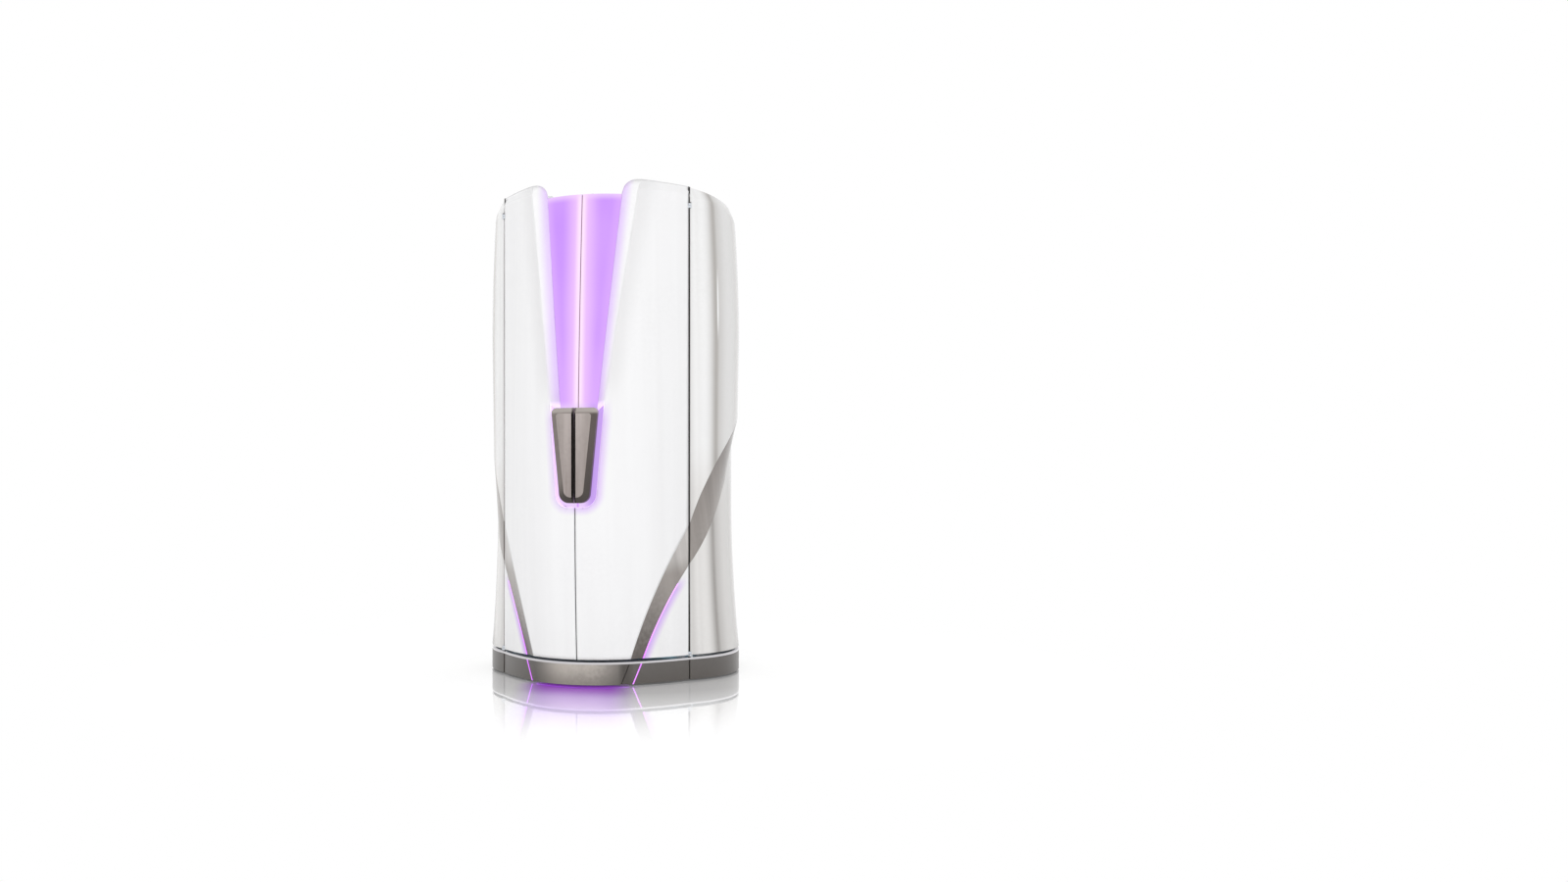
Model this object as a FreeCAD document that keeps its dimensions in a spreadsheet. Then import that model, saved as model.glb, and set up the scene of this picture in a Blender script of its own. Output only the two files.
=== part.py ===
import FreeCAD, Part
import math
import os
import Sketcher

# Vertical tanning booth: a round cabin on a low base, with two lamp doors that meet at
# the front.  Millimetres; +Z up, front towards -Y, origin on the floor under the centre
# of the round cabin.  The right half (+X) is drawn and the left half mirrors it.

os.makedirs("parts", exist_ok=True)

Vector = FreeCAD.Vector
UP = Vector(0, 0, 1)
ACROSS = Vector(1, 0, 0)

doc = FreeCAD.newDocument("TanningBooth")
sheet = doc.addObject("Spreadsheet::Sheet", "Sizes")

DRIVING_SIZES = {
    # plan of the whole booth
    "half_width": 634,
    "rear_radius": 630,
    "base_inset": 4,
    "split_x": 465,
    "split_y": 365,
    "split_gap": 7,
    "seam_gap": 4,
    "seat_gap": 0.3,
    # heights of the whole booth
    "shell_top": 2350,
    "shell_top_drop": 8,
    "rear_top_drop": 57,
    "door_gap": 14,
    # base
    "foot_height": 8,
    "foot_radius": 28,
    "stem_radius": 8,
    "foot_circle": 470,
    "base_top": 102,
    "base_plate": 12,
    "base_wall": 5,
    "fascia_wall": 11.7,
    "fascia_recess": 5,
    "front_fascia_x": 230,
    "front_fascia_rake": 34,
    "front_fascia_proud": 5,
    "base_led_x": 276,
    "led_width": 5,
    "led_thickness": 1.5,
    "led_stand": 1,
    "base_led_proud": 3,
    "split_mark_width": 2,
    "split_mark_depth": 3,
    "rim_height": 8,
    "rim_width": 16,
    "rim_relief": 32,
    # moulded door and side shells
    "shell_wall": 7,
    "waist_height": 900,
    "waist_depth": 703,
    "bottom_depth": 674,
    "crown_depth": 622,
    "lower_recess": 20,
    "waist_inset": 44,
    "lower_flare": 40,
    "upper_bulge_height": 1650,
    "upper_crown_inset": 30,
    "upper_belt_inset": 22,
    "side_end_y": 170,
    # sweeping ramp that parts the upper shell from the lower one
    "ramp_gap": 0.5,
    "ramp_foot_x": 230,
    "ramp_bend_x": 322,
    "ramp_bend_height": 390,
    "ramp_split_height": 738,
    "ramp_low_foot_x": 274,
    "ramp_low_bend_x": 348,
    "ramp_low_bend_height": 307,
    "ramp_low_split_height": 556,
    "ramp_side_y": 201,
    "ramp_side_height": 1060,
    "ramp_tip_height": 1300,
    "ramp_low_side_y": 216,
    "ramp_low_side_height": 768,
    "ramp_low_back_y": 52,
    "ramp_low_back_height": 1150,
    "ramp_tip_width": 8,
    "ramp_led_height": 465,
    # lit opening above the handle
    "opening_top_x": 187,
    "opening_low_x": 88,
    "opening_low_height": 1280,
    "bevel_top_width": 80,
    "bevel_low_width": 37,
    "bevel_lap": 4,
    "opening_corner": 62,
    "panel_top_drop": 70,
    "panel_recess": 45,
    # door handle
    "handle_low": 842,
    "handle_high": 1278,
    "handle_top_x": 110,
    "handle_low_x": 74,
    "handle_corner": 46,
    "handle_proud": 24,
    "handle_thickness": 34,
    "handle_bevel": 26,
    "handle_margin": 19,
    # door frame, in the door's own axes: along the inner face and outwards from it
    "face_y": 385,
    "face_tilt": 8,
    "frame_width": 420,
    "frame_depth": 70,
    "frame_top": 2300,
    "frame_corner_cut": 26,
    "free_stile": 12,
    "free_fin_depth": 118,
    "hinge_stile": 59,
    "top_rail": 73,
    "bottom_rail": 65,
    "rib_thickness": 6,
    "rib_clearance": 0.9,
    "rib_lap": 10,
    "rib_hinge_gap": 60,
    "rib_edge_gap": 8,
    "low_rib_rise": 40,
    "middle_rib_drop": 28,
    "high_rib_height": 1664,
    "top_rib_drop": 21,
    "vent_width": 220,
    "vent_depth": 60,
    "vent_height": 44,
    "vent_corner": 20,
    "vent_slots": 11,
    "vent_slot_width": 9,
    "vent_end_gap": 10,
    # lamps
    "lamp_radius": 19,
    "lamp_length": 2017,
    "lamp_setback": 7,
    "lamp_end_gap": 6,
    "holder_radius": 15.2,
    "door_lamps": 7,
    "side_lamps": 17,
    "lamp_inset": 131,
    "reflector_wall": 3,
    "shield_wall": 3,
    "shield_setback": 1,
    # hinges
    "pin_radius": 5,
    "pin_clearance": 0.05,
    "ear_thickness": 10,
    "ear_gap": 1.5,
    "ear_radius": 9,
    "notch_radius": 14,
    "pin_head": 5,
    "pin_head_radius": 7.5,
    "ear_root": 8,
    "ear_root_depth": 21,
    "top_hinge_height": 2236,
    "low_hinge_height": 130,
    # cabin
    "entrance_x": 385,
    "post_width": 55,
    "post_front": 318,
    "post_back": 240,
    "post_nose": 6.875,
    "flange_clearance": 9.8,
    "cabin_inset": 168,
    "cabin_front": 366,
    "rail_inset": 100,
    "rail_start": 27.5,
    "rail_end": 80,
    "lamp_foot": 180,
    "floor_height": 160,
    "tread_inset": 10,
    "tread_depth": 6,
    "tread_notch": 16,
    "column_half_width": 80,
    "column_depth": 72,
    "column_panel_half": 66,
    "column_panel_recess": 2,
    "column_panel_wall": 6,
    "strip_half_width": 33,
    "strip_low": 1592,
    "strip_high": 1909,
    "strip_wall": 10,
    "key_radius": 8,
    "key_gap": 0.3,
    "key_depth": 7,
    "key_proud": 1.5,
    "display_half_width": 27,
    "display_height": 80,
    "display_wall": 8,
    "upper_display_low": 2020,
    "lower_display_low": 978,
    "dock_half_width": 31,
    "dock_low": 1303,
    "dock_height": 119,
    "dock_wall": 12,
    "dock_edge": 6,
    "dock_recess": 4,
    # roof
    "roof_low": 2258,
    "roof_plate": 8,
    "housing_radius": 340,
    "housing_top": 2335,
    "housing_round": 26,
    "housing_wall": 4,
    "exhaust_radius": 150,
    "canopy_low": 2210,
    "canopy_plate": 6,
    "canopy_skirt": 5,
    "fan_opening": 210,
    "speaker_x": 317,
    "speaker_radius": 72,
    "speaker_core": 25,
    "speaker_cone": 61,
    "speaker_dish": 4.8,
    "shroud_wall": 4,
    "shroud_rise": 16,
    "motor_radius": 46,
    "motor_height": 34,
    "strut_width": 14,
    "hub_radius": 38,
    "hub_height": 18,
    "hub_gap": 4,
    "blade_reach": 196,
    "blade_pitch": 24,
    "blade_wall": 3,
    "blade_chord": 78,
    "blades": 5,
    "shaft_radius": 6,
    "shaft_end_gap": 2,
    "grab_ring_radius": 295,
    "grab_tube_radius": 8,
    "grab_ring_height": 2164,
    "grab_rod_x": 200,
    "grab_rod_radius": 6,
    "duct_inner_x": 226,
    "duct_outer_x": 426,
    "duct_front": 312,
    "duct_back": 130,
    "duct_corner": 14,
    "duct_mouth_margin": 12,
    "duct_mouth_depth": 40,
    # rear cover
    "cover_radius": 618,
    "cover_joint": 3,
    "louvre_count": 10,
    "louvre_width": 300,
    "louvre_height": 12,
    "louvre_pitch": 34,
    "louvre_low": 300,
}

KEY_HEIGHTS = {
    "start_key": 1834,
    "stop_key": 1809,
    "body_fan_key": 1749,
    "face_fan_key": 1718,
    "light_key": 1690,
    "volume_up_key": 1665,
    "volume_down_key": 1630,
}


class Size:
    """A number together with the spreadsheet formula that gives it."""

    def __init__(self, value, formula):
        self.value = float(value)
        self.formula = formula

    def __float__(self):
        return self.value

    def __add__(self, other):
        return Size(self.value + float(other), "(%s + %s)" % (self.formula, formula_of(other)))

    def __sub__(self, other):
        return Size(self.value - float(other), "(%s - %s)" % (self.formula, formula_of(other)))

    def __mul__(self, other):
        return Size(self.value * float(other), "(%s * %s)" % (self.formula, formula_of(other)))

    def __truediv__(self, other):
        return Size(self.value / float(other), "(%s / %s)" % (self.formula, formula_of(other)))

    def __neg__(self):
        return Size(-self.value, "(-1 * %s)" % self.formula)


def formula_of(number):
    """Formula text of a Size, or a plain number written out."""
    if isinstance(number, Size):
        return number.formula
    return "%.6f" % number


class SizeSet:
    """All driving sizes by name."""


s = SizeSet()
sheet_rows = dict(DRIVING_SIZES)
for key_name, key_height in KEY_HEIGHTS.items():
    sheet_rows[key_name + "_height"] = key_height
for row, (alias, number) in enumerate(sheet_rows.items(), start=1):
    sheet.set("A%d" % row, str(number))
    sheet.setAlias("A%d" % row, alias)
    setattr(s, alias, Size(number, "Sizes." + alias))
doc.recompute()

ZERO = Size(0, "0")
OVERSHOOT = 1
LAMP_SIDES = 8
PIN_SIDES = 10
HEAD_SIDES = 6
NOTCH_SIDES = 10
FOOT_SIDES = 10
FOOT_TURNS = (45, 135, 225, 315)
TUBE_SIDES = 6
SPEAKER_CHORDS = 14
KEY_SIDES = 10
TURN_CHORDS = 28
WALL_CHORDS = 12
nodes = {}

# Sizes that follow from the driving ones.
rim_top = s.base_top + s.rim_height
door_low = rim_top + s.door_gap
window_low = door_low + s.bottom_rail
window_high = s.frame_top - s.top_rail
window_width = s.frame_width - s.free_stile - s.hinge_stile
lamp_top = s.lamp_foot + s.lamp_length
panel_back = s.panel_recess + s.shell_wall
face_turn = math.radians(float(s.face_tilt))
base_half_width = s.half_width - s.base_inset
waist_half_width = s.half_width - s.waist_inset
cabin_radius = s.half_width - s.cabin_inset
lamp_circle = s.half_width - s.lamp_inset
rail_outer = s.half_width - s.rail_inset
column_front = rail_outer - s.column_depth
panel_top = s.shell_top - s.panel_top_drop
side_top = s.shell_top - s.shell_top_drop
rear_top = side_top - s.rear_top_drop


# ---------------------------------------------------------------- document helpers

def bind(thing, path, size):
    """Tie a property of a document object to its spreadsheet formula."""
    thing.setExpression(path, formula_of(size))


def place(thing, x, y, z):
    """Tie an object's position to the sheet."""
    bind(thing, "Placement.Base.x", x)
    bind(thing, "Placement.Base.y", y)
    bind(thing, "Placement.Base.z", z)


def box(name, corner, lengths):
    """Box from its low corner and its three lengths."""
    solid = doc.addObject("Part::Box", name)
    for path, size in zip(("Length", "Width", "Height"), lengths):
        bind(solid, path, size)
    place(solid, *corner)
    return solid


def prism(name, centre, radius, height, sides):
    """Upright regular prism from the centre of its lower face, the light form of a round piece."""
    solid = doc.addObject("Part::Prism", name)
    solid.Polygon = sides
    bind(solid, "Circumradius", radius)
    bind(solid, "Height", height)
    place(solid, *centre)
    return solid


def cut(name, base, tool):
    """Parametric difference of two document objects."""
    result = doc.addObject("Part::Cut", name)
    result.Base = base
    result.Tool = tool
    return result


def fuse(name, pieces):
    """Parametric union of document objects."""
    result = doc.addObject("Part::MultiFuse", name)
    result.Shapes = pieces
    result.Refine = True
    return result


def group(name, pieces):
    """Separate solids kept together as one sub-part."""
    result = doc.addObject("Part::Compound", name)
    result.Links = pieces
    return result


def mirror(name, source):
    """Left-hand copy of a right-hand piece."""
    result = doc.addObject("Part::Mirroring", name)
    result.Source = source
    result.Normal = ACROSS
    return result


def drawn(name, shape):
    """Document object for a shape that is made with the Part functions."""
    result = doc.addObject("Part::Feature", name)
    result.Shape = shape
    result.Placement = FreeCAD.Placement()
    return result


def node(name, piece):
    """Name a finished sub-part; its label is also its file name."""
    piece.Label = name
    nodes[name] = piece
    return piece


def pair_of_nodes(name, piece):
    """A right-hand node and its mirrored left-hand node."""
    node(name + "_right", piece)
    node(name + "_left", mirror("Left" + piece.Name, piece))


def both_sides(name, piece):
    """One node that holds the right-hand piece and its mirror image."""
    node(name, group("Pair" + piece.Name, [piece, mirror("Left" + piece.Name, piece)]))


def new_body(name):
    """Empty PartDesign body."""
    return doc.addObject("PartDesign::Body", name)


def origin_plane(body, role):
    """Origin plane of a body, such as XY_Plane."""
    return [part for part in body.Origin.OriginFeatures if part.Role == role][0]


def outline_sketch(body, name, role, corners, lift=ZERO):
    """Closed polygon whose corners are tied to the sheet, on an origin plane."""
    sketch = body.newObject("Sketcher::SketchObject", name)
    sketch.AttachmentSupport = [(origin_plane(body, role), "")]
    sketch.MapMode = "FlatFace"
    bind(sketch, "AttachmentOffset.Base.z", lift)
    spots = [Vector(float(a), float(b), 0) for a, b in corners]
    for number, spot in enumerate(spots):
        following = spots[(number + 1) % len(spots)]
        sketch.addGeometry(Part.LineSegment(spot, following), False)
    for number in range(len(spots)):
        following = (number + 1) % len(spots)
        sketch.addConstraint(Sketcher.Constraint("Coincident", number, 2, following, 1))
    for number, (a, b) in enumerate(corners):
        for kind, size in (("DistanceX", a), ("DistanceY", b)):
            held = sketch.addConstraint(Sketcher.Constraint(kind, -1, 1, number, 1, float(size)))
            bind(sketch, "Constraints[%d]" % held, size)
    return sketch


def rectangle(low_a, low_b, high_a, high_b):
    """Corners of a rectangle, in order."""
    return [(low_a, low_b), (high_a, low_b), (high_a, high_b), (low_a, high_b)]


def pad(body, name, sketch, length, reverse=False):
    """Pad a sketch by a bound length."""
    feature = body.newObject("PartDesign::Pad", name)
    feature.Profile = sketch
    bind(feature, "Length", length)
    feature.Reversed = reverse
    return feature


def pocket(body, name, sketch, length, reverse=False):
    """Pocket a sketch by a bound length, and make sure that it removes something."""
    doc.recompute()
    volume = body.Tip.Shape.Volume
    feature = body.newObject("PartDesign::Pocket", name)
    feature.Profile = sketch
    bind(feature, "Length", length)
    feature.Reversed = reverse
    doc.recompute()
    if feature.Shape.Volume >= volume:
        raise RuntimeError(name + " cuts nothing")
    return feature


# ---------------------------------------------------------------- moulded surfaces

LEAN_POWER = 1.6
FLARE_POWER = 2
PLAN_CHORDS = 10
RIB_CHORDS = 4
RAMP_CHORDS = 11
BEVEL_CHORDS = 4
CORNER_CHORDS = 4
SECTION_SHARES = (0, 0.16, 0.34, 0.53, 0.76, 1)
REAR_LAP = 12
FLATNESS = 0.001


def curve_depth(height):
    """Distance of the door's front from the centre at the seam, deepest at the waist."""
    waist = float(s.waist_height)
    if height < waist:
        share = (waist - height) / (waist - float(door_low))
        return float(s.waist_depth) - (float(s.waist_depth) - float(s.bottom_depth)) * share ** FLARE_POWER
    share = (height - waist) / (float(s.shell_top) - waist)
    return float(s.waist_depth) - (float(s.waist_depth) - float(s.crown_depth)) * share ** LEAN_POWER


def between(stations, place, value):
    """Value at a place, in a straight line between the stations on either side of it."""
    number = 1
    while number < len(stations) - 1 and place > stations[number]:
        number += 1
    low, high = stations[number - 1], stations[number]
    share = (place - low) / (high - low)
    return value(low) * (1 - share) + value(high) * share


def door_point(x, height, back, recess=0):
    """Point on the bowed door front, whose facets follow a parabola in plan from the seam to the split.
    back moves it straight towards the cabin; recess flattens the bow and fades out at the split."""
    depth = between(heights(door_low, s.shell_top), height, curve_depth) - float(recess)
    stations = spaced(0, float(s.split_x), PLAN_CHORDS)
    rise = between(stations, x, lambda station: (station / float(s.split_x)) ** 2)
    return Vector(x, float(back) - depth + (depth - float(s.split_y)) * rise, height)


def ellipse_points(wide, deep, start, end, height, chords):
    """Points of an ellipse about the centre between two turns, counted from +X towards the front."""
    return [Vector(wide * math.cos(turn), -deep * math.sin(turn), height)
            for turn in spaced(start, end, chords)]


def spaced(start, end, steps):
    """Evenly spaced numbers from start to end."""
    steps = round(steps)
    return [start + (end - start) * step / steps for step in range(steps + 1)]


def heights(low, high):
    """Levels of the sections that a shell is lofted through."""
    return [float(low) + (float(high) - float(low)) * share for share in SECTION_SHARES]


def flat_face(points):
    """Flat face through its corners."""
    return Part.Face(Part.makePolygon(points + points[:1]))


def facets(corners):
    """One flat face through four corners, or two where the corners aren't in one plane."""
    points = [corner for number, corner in enumerate(corners)
              if (corner - corners[number - 1]).Length > FLATNESS]
    if len(points) < 3:
        return []
    if len(points) == 3 or abs(points[3].distanceToPlane(*plane_through(points))) < FLATNESS:
        return [flat_face(points)]
    return [flat_face(points[:3]), flat_face([points[0], points[2], points[3]])]


def plane_through(points):
    """Base point and unit normal of the plane through the first three points."""
    normal = (points[1] - points[0]).cross(points[2] - points[0]).normalize()
    return points[0], normal


def chord_loft(sections, closed=False):
    """Solid lofted in flat facets through sections that have the same number of points."""
    faces = []
    if not closed:
        faces += [flat_face(sections[0]), flat_face(sections[-1])]
    following = sections[1:] + (sections[:1] if closed else [])
    for near, far in zip(sections, following):
        for number in range(len(near)):
            faces += facets([near[number - 1], near[number], far[number], far[number - 1]])
    shell = Part.makeCompound(faces)
    shell.sewShape()
    solid = Part.makeSolid(shell.Shells[0])
    if solid.Volume < 0:
        solid.reverse()
    return solid


def lathe(corners, chords, centre_x=0):
    """Half section (radius, height) turned in chords about the upright axis through centre_x."""
    sections = []
    for turn in spaced(0, 2 * math.pi, chords)[:-1]:
        along = Vector(math.cos(turn), math.sin(turn), 0)
        axis = Vector(centre_x, 0, 0)
        sections.append([axis + along * float(radius) + UP * float(height) for radius, height in corners])
    return chord_loft(sections, True)


def door_line(height, back, recess=0):
    """Chords of the door front at one level, from the seam plane to the split line."""
    return [door_point(x, height, back, recess) for x in spaced(0, float(s.split_x), PLAN_CHORDS)]


def door_blank(outer_back, inner_back, recess=0):
    """Bowed blank for a door shell."""
    return chord_loft([door_line(height, outer_back, recess) + door_line(height, inner_back, recess)[::-1]
                       for height in heights(door_low, s.shell_top)])


def upper_half_width(height):
    """Half width of the upper side shell, which bulges below the shoulder."""
    bulge = float(s.upper_bulge_height)
    if height > bulge:
        share = (height - bulge) / (float(s.shell_top) - bulge)
        return float(s.half_width) - float(s.upper_crown_inset) * share ** FLARE_POWER
    share = (bulge - height) / (bulge - float(s.ramp_low_split_height))
    return float(s.half_width) - float(s.upper_belt_inset) * share


def lower_half_width(height):
    """Half width of the lower side shell, which flares out to the base."""
    waist = float(s.waist_height)
    share = max(0, waist - height) / (waist - float(door_low))
    return float(waist_half_width) + float(s.lower_flare) * share ** FLARE_POWER


def side_depth(wide):
    """Depth of the front quarter's ellipse, which passes through the split line."""
    return float(s.split_y) / math.sqrt(1 - (float(s.split_x) / wide) ** 2)


def side_line(wide, inset, height, rear_turn):
    """Chords of the side wall at one level: a front arc from the split and an arc behind the widest line."""
    split_turn = math.acos(float(s.split_x) / wide)
    front = ellipse_points(wide - inset, side_depth(wide) - inset, split_turn, 0, height, PLAN_CHORDS)
    rear_chords = max(1, round(PLAN_CHORDS * rear_turn / math.pi * 2))
    rear = ellipse_points(wide - inset, float(s.rear_radius) - inset, 0, -rear_turn, height, rear_chords)
    return front + rear[1:]


def rear_turn():
    """Turn of the side shells' rear edge, a little past the place where they are trimmed."""
    return math.asin((float(s.side_end_y) + REAR_LAP) / float(s.rear_radius))


def side_blank(half_width, outer_inset, inner_inset, low, high):
    """Curved blank for a side shell."""
    sections = []
    for height in heights(low, high):
        wide = half_width(height)
        sections.append(side_line(wide, outer_inset, height, rear_turn())
                        + side_line(wide, inner_inset, height, rear_turn())[::-1])
    return chord_loft(sections)


def side_line_at(inset, height):
    """Line at one level on the facets of the upper side shell, up to the shell's rear edge."""
    stations = heights(s.ramp_low_split_height, side_top)
    number = 1
    while stations[number] < height:
        number += 1
    low, high = stations[number - 1], stations[number]
    share = (height - low) / (high - low)
    below = side_line(upper_half_width(low), inset, low, rear_turn())
    above = side_line(upper_half_width(high), inset, high, rear_turn())
    line = [near * (1 - share) + far * share for near, far in zip(below, above)]
    end = float(s.side_end_y)
    kept = [point for point in line if point.y < end]
    beyond = line[len(kept)]
    kept.append(kept[-1] + (beyond - kept[-1]) * ((end - kept[-1].y) / (beyond.y - kept[-1].y)))
    return kept


def cover_line(inset, level):
    """Line of the rear cover at one level, from the right-hand edge round to the left-hand one."""
    radius = float(s.cover_radius) - float(inset)
    turn = math.asin((float(s.side_end_y) + float(s.cover_joint)) / radius)
    return ellipse_points(radius, radius, -turn, turn - math.pi, float(level), PLAN_CHORDS * 2)


def smooth_points(points, steps=RAMP_CHORDS):
    """Points spaced along the smooth curve through the given elevation points."""
    curve = Part.BSplineCurve()
    curve.interpolate([Vector(float(a), float(b), 0) for a, b in points])
    return [curve.value(value) for value in spaced(curve.FirstParameter, curve.LastParameter, steps)]


def outline(runs, spot):
    """Closed outline made of straight runs of two points and smooth runs of more."""
    points = []
    for run in runs:
        if len(run) == 2:
            points += [spot(float(a), float(b)) for a, b in run[:-1]]
        else:
            points += [spot(place.x, place.y) for place in smooth_points(run)[:-1]]
    return flat_face(points)


REACH = 1000
SKY = 3000


def chord_cylinder(radius, height, base, chords):
    """Upright round solid in chords, whose flats keep to the radius."""
    corner = float(radius) / math.cos(math.pi / chords)
    plan = [base + point for point in ellipse_points(corner, corner, 0, 2 * math.pi, 0, chords)[:-1]]
    return flat_face(plan).extrude(Vector(0, 0, height))


def front_prism(runs):
    """Outline in the front elevation (x, z) carried from the centre plane forwards."""
    return outline(runs, lambda a, b: Vector(a, 0, b)).extrude(Vector(0, -REACH, 0))


def side_prism(runs):
    """Outline in the side elevation (y, z) carried out to the right."""
    return outline(runs, lambda a, b: Vector(0, a, b)).extrude(Vector(REACH, 0, 0))


def plan_plate(inset, low, high):
    """Slab with the plan of the booth, moved inwards by inset."""
    inset = float(inset)
    level = float(low)
    front = [Vector(point.x, point.y, level) for point in door_line(float(door_low), inset)]
    side = side_line(float(base_half_width), inset, level, math.pi / 2)
    join = (front[-1] + side[0]) * 0.5
    half = front[:-1] + [join] + side[1:]
    mirrored = [Vector(-point.x, point.y, level) for point in half[-2:0:-1]]
    return flat_face(half + mirrored).extrude(Vector(0, 0, float(high) - level))


def slab(low_corner, high_corner):
    """Plain block between two corners, used to trim shapes."""
    size = high_corner - low_corner
    return Part.makeBox(size.x, size.y, size.z, low_corner)


# ---------------------------------------------------------------- base

def build_base():
    """Chassis pan, fascias, rim, lit strips and levelling feet."""
    low = s.foot_height
    plate = plan_plate(s.fascia_wall + s.seat_gap, low, s.base_top)
    inside = plan_plate(s.fascia_wall + s.seat_gap + s.base_wall, low, s.base_top - s.base_plate)
    node("base_chassis", drawn("BaseChassis", plate.cut(inside)))

    top_x = float(s.front_fascia_x)
    low_x = top_x - float(s.front_fascia_rake)
    floor = float(low)
    top = float(s.base_top)
    front_region = front_prism([[(-low_x, floor), (low_x, floor)], [(low_x, floor), (top_x, top)],
                                [(top_x, top), (-top_x, top)], [(-top_x, top), (-low_x, floor)]])
    proud = plan_plate(-s.front_fascia_proud, low, s.base_top)
    hollow = plan_plate(s.fascia_wall, low, s.base_top)
    node("base_front_fascia", drawn("BaseFrontFascia", proud.common(front_region).cut(hollow)))

    gap = float(s.seat_gap)
    side_region = front_prism([[(-low_x - gap, floor), (low_x + gap, floor)],
                               [(low_x + gap, floor), (top_x + gap, top)],
                               [(top_x + gap, top), (-top_x - gap, top)],
                               [(-top_x - gap, top), (-low_x - gap, floor)]])
    ring = plan_plate(s.fascia_recess, low, s.base_top).cut(hollow)
    rear_ring = plan_plate(ZERO, low, s.base_top).cut(plan_plate(s.fascia_recess, low, s.base_top))
    split = float(s.split_x)
    behind = slab(Vector(-REACH, -float(s.split_y), floor), Vector(REACH, REACH, top))
    ring = ring.fuse(rear_ring.common(behind)).removeSplitter()
    mark = float(s.split_mark_width) / 2
    mark_end = float(s.split_mark_depth) - float(s.split_y)
    slots = [slab(Vector(side * split - mark, -REACH, floor), Vector(side * split + mark, mark_end, top))
             for side in (-1, 1)]
    node("base_side_fascia", drawn("BaseSideFascia", ring.cut(side_region).cut(Part.makeCompound(slots))))

    led_x = float(s.base_led_x)
    led_low_x = led_x - float(s.front_fascia_rake)
    wide = float(s.led_width)
    strip = front_prism([[(led_low_x, floor), (led_low_x + wide, floor)],
                         [(led_low_x + wide, floor), (led_x + wide, top)],
                         [(led_x + wide, top), (led_x, top)], [(led_x, top), (led_low_x, floor)]])
    proud_led = plan_plate(s.fascia_recess - s.base_led_proud, low, s.base_top)
    led = proud_led.common(strip).cut(plan_plate(s.fascia_recess - s.seat_gap, low, s.base_top))
    both_sides("base_led_strips", drawn("BaseLed", led))

    rim = plan_plate(ZERO, s.base_top, rim_top).cut(plan_plate(s.rim_width, s.base_top, rim_top))
    relief = float(s.rim_relief)
    post_corner = Vector(split - relief / 4, -float(s.split_y) + float(s.rim_width) / 2, float(s.base_top))
    relief_box = slab(post_corner, Vector(split + relief, -float(s.post_front), float(rim_top)))
    rim = rim.cut(relief_box).cut(relief_box.mirror(Vector(), ACROSS))
    node("base_rim", drawn("BaseRim", rim))

    feet = []
    spots = [(ZERO, ZERO)]
    for turn in FOOT_TURNS:
        share = math.radians(turn)
        spots.append((s.foot_circle * math.cos(share), s.foot_circle * math.sin(share)))
    stem_height = s.base_top - s.base_plate - s.foot_height
    for number, (x, y) in enumerate(spots):
        pad_piece = prism("FootPad%d" % number, (x, y, ZERO), s.foot_radius, s.foot_height, FOOT_SIDES)
        stem = prism("FootStem%d" % number, (x, y, s.foot_height), s.stem_radius, stem_height, TUBE_SIDES)
        feet.append(fuse("Foot%d" % number, [pad_piece, stem]))
    node("levelling_feet", group("LevellingFeet", feet))


# ---------------------------------------------------------------- cabin

def cabin_plate(inset, low, high):
    """Slab with the cabin's plan: a half circle behind and half an ellipse in front."""
    radius = float(cabin_radius) - float(inset)
    front = float(s.cabin_front) - float(inset)
    level = float(low)
    fore = ellipse_points(radius, front, 0, math.pi, level, PLAN_CHORDS * 2)
    rear = ellipse_points(radius, radius, math.pi, 2 * math.pi, level, PLAN_CHORDS * 2)
    return flat_face(fore[:-1] + rear[:-1]).extrude(Vector(0, 0, float(high) - level))


def build_floor():
    """Floor platform with a recessed tread and a notch in its front edge."""
    seat = s.floor_height - s.tread_depth
    platform = cabin_plate(ZERO, s.base_top, s.floor_height)
    platform = platform.cut(cabin_plate(s.tread_inset, seat, s.floor_height))
    notch = float(s.tread_notch)
    front = float(s.cabin_front)
    platform = platform.cut(slab(Vector(-notch, -front - OVERSHOOT, float(seat) - notch),
                                 Vector(notch, notch - front, float(s.floor_height))))
    column = slab(Vector(-REACH, float(column_front) - float(s.seat_gap), 0), Vector(REACH, REACH, REACH))
    node("floor_platform", drawn("FloorPlatform", platform.cut(column)))
    tread_inset = s.tread_inset + s.seat_gap
    node("floor_tread", drawn("FloorTread", cabin_plate(tread_inset, seat, s.floor_height)))


def ring_sector(name, inner, outer, low, high, start, end):
    """Upright wall round the cabin between two turns from the right-hand side, in degrees.
    The middle of each chord keeps to the radius, so that nested walls stay clear of each other."""
    first, last = math.radians(-float(start)), math.radians(-float(end))
    stretch = 1 / math.cos((last - first) / WALL_CHORDS / 2)
    edges = []
    for radius in (outer, inner):
        reach = float(radius) * stretch
        edges.append(ellipse_points(reach, reach, first, last, float(low), WALL_CHORDS))
    return drawn(name, flat_face(edges[0] + edges[1][::-1]).extrude(Vector(0, 0, float(high - low))))


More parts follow.
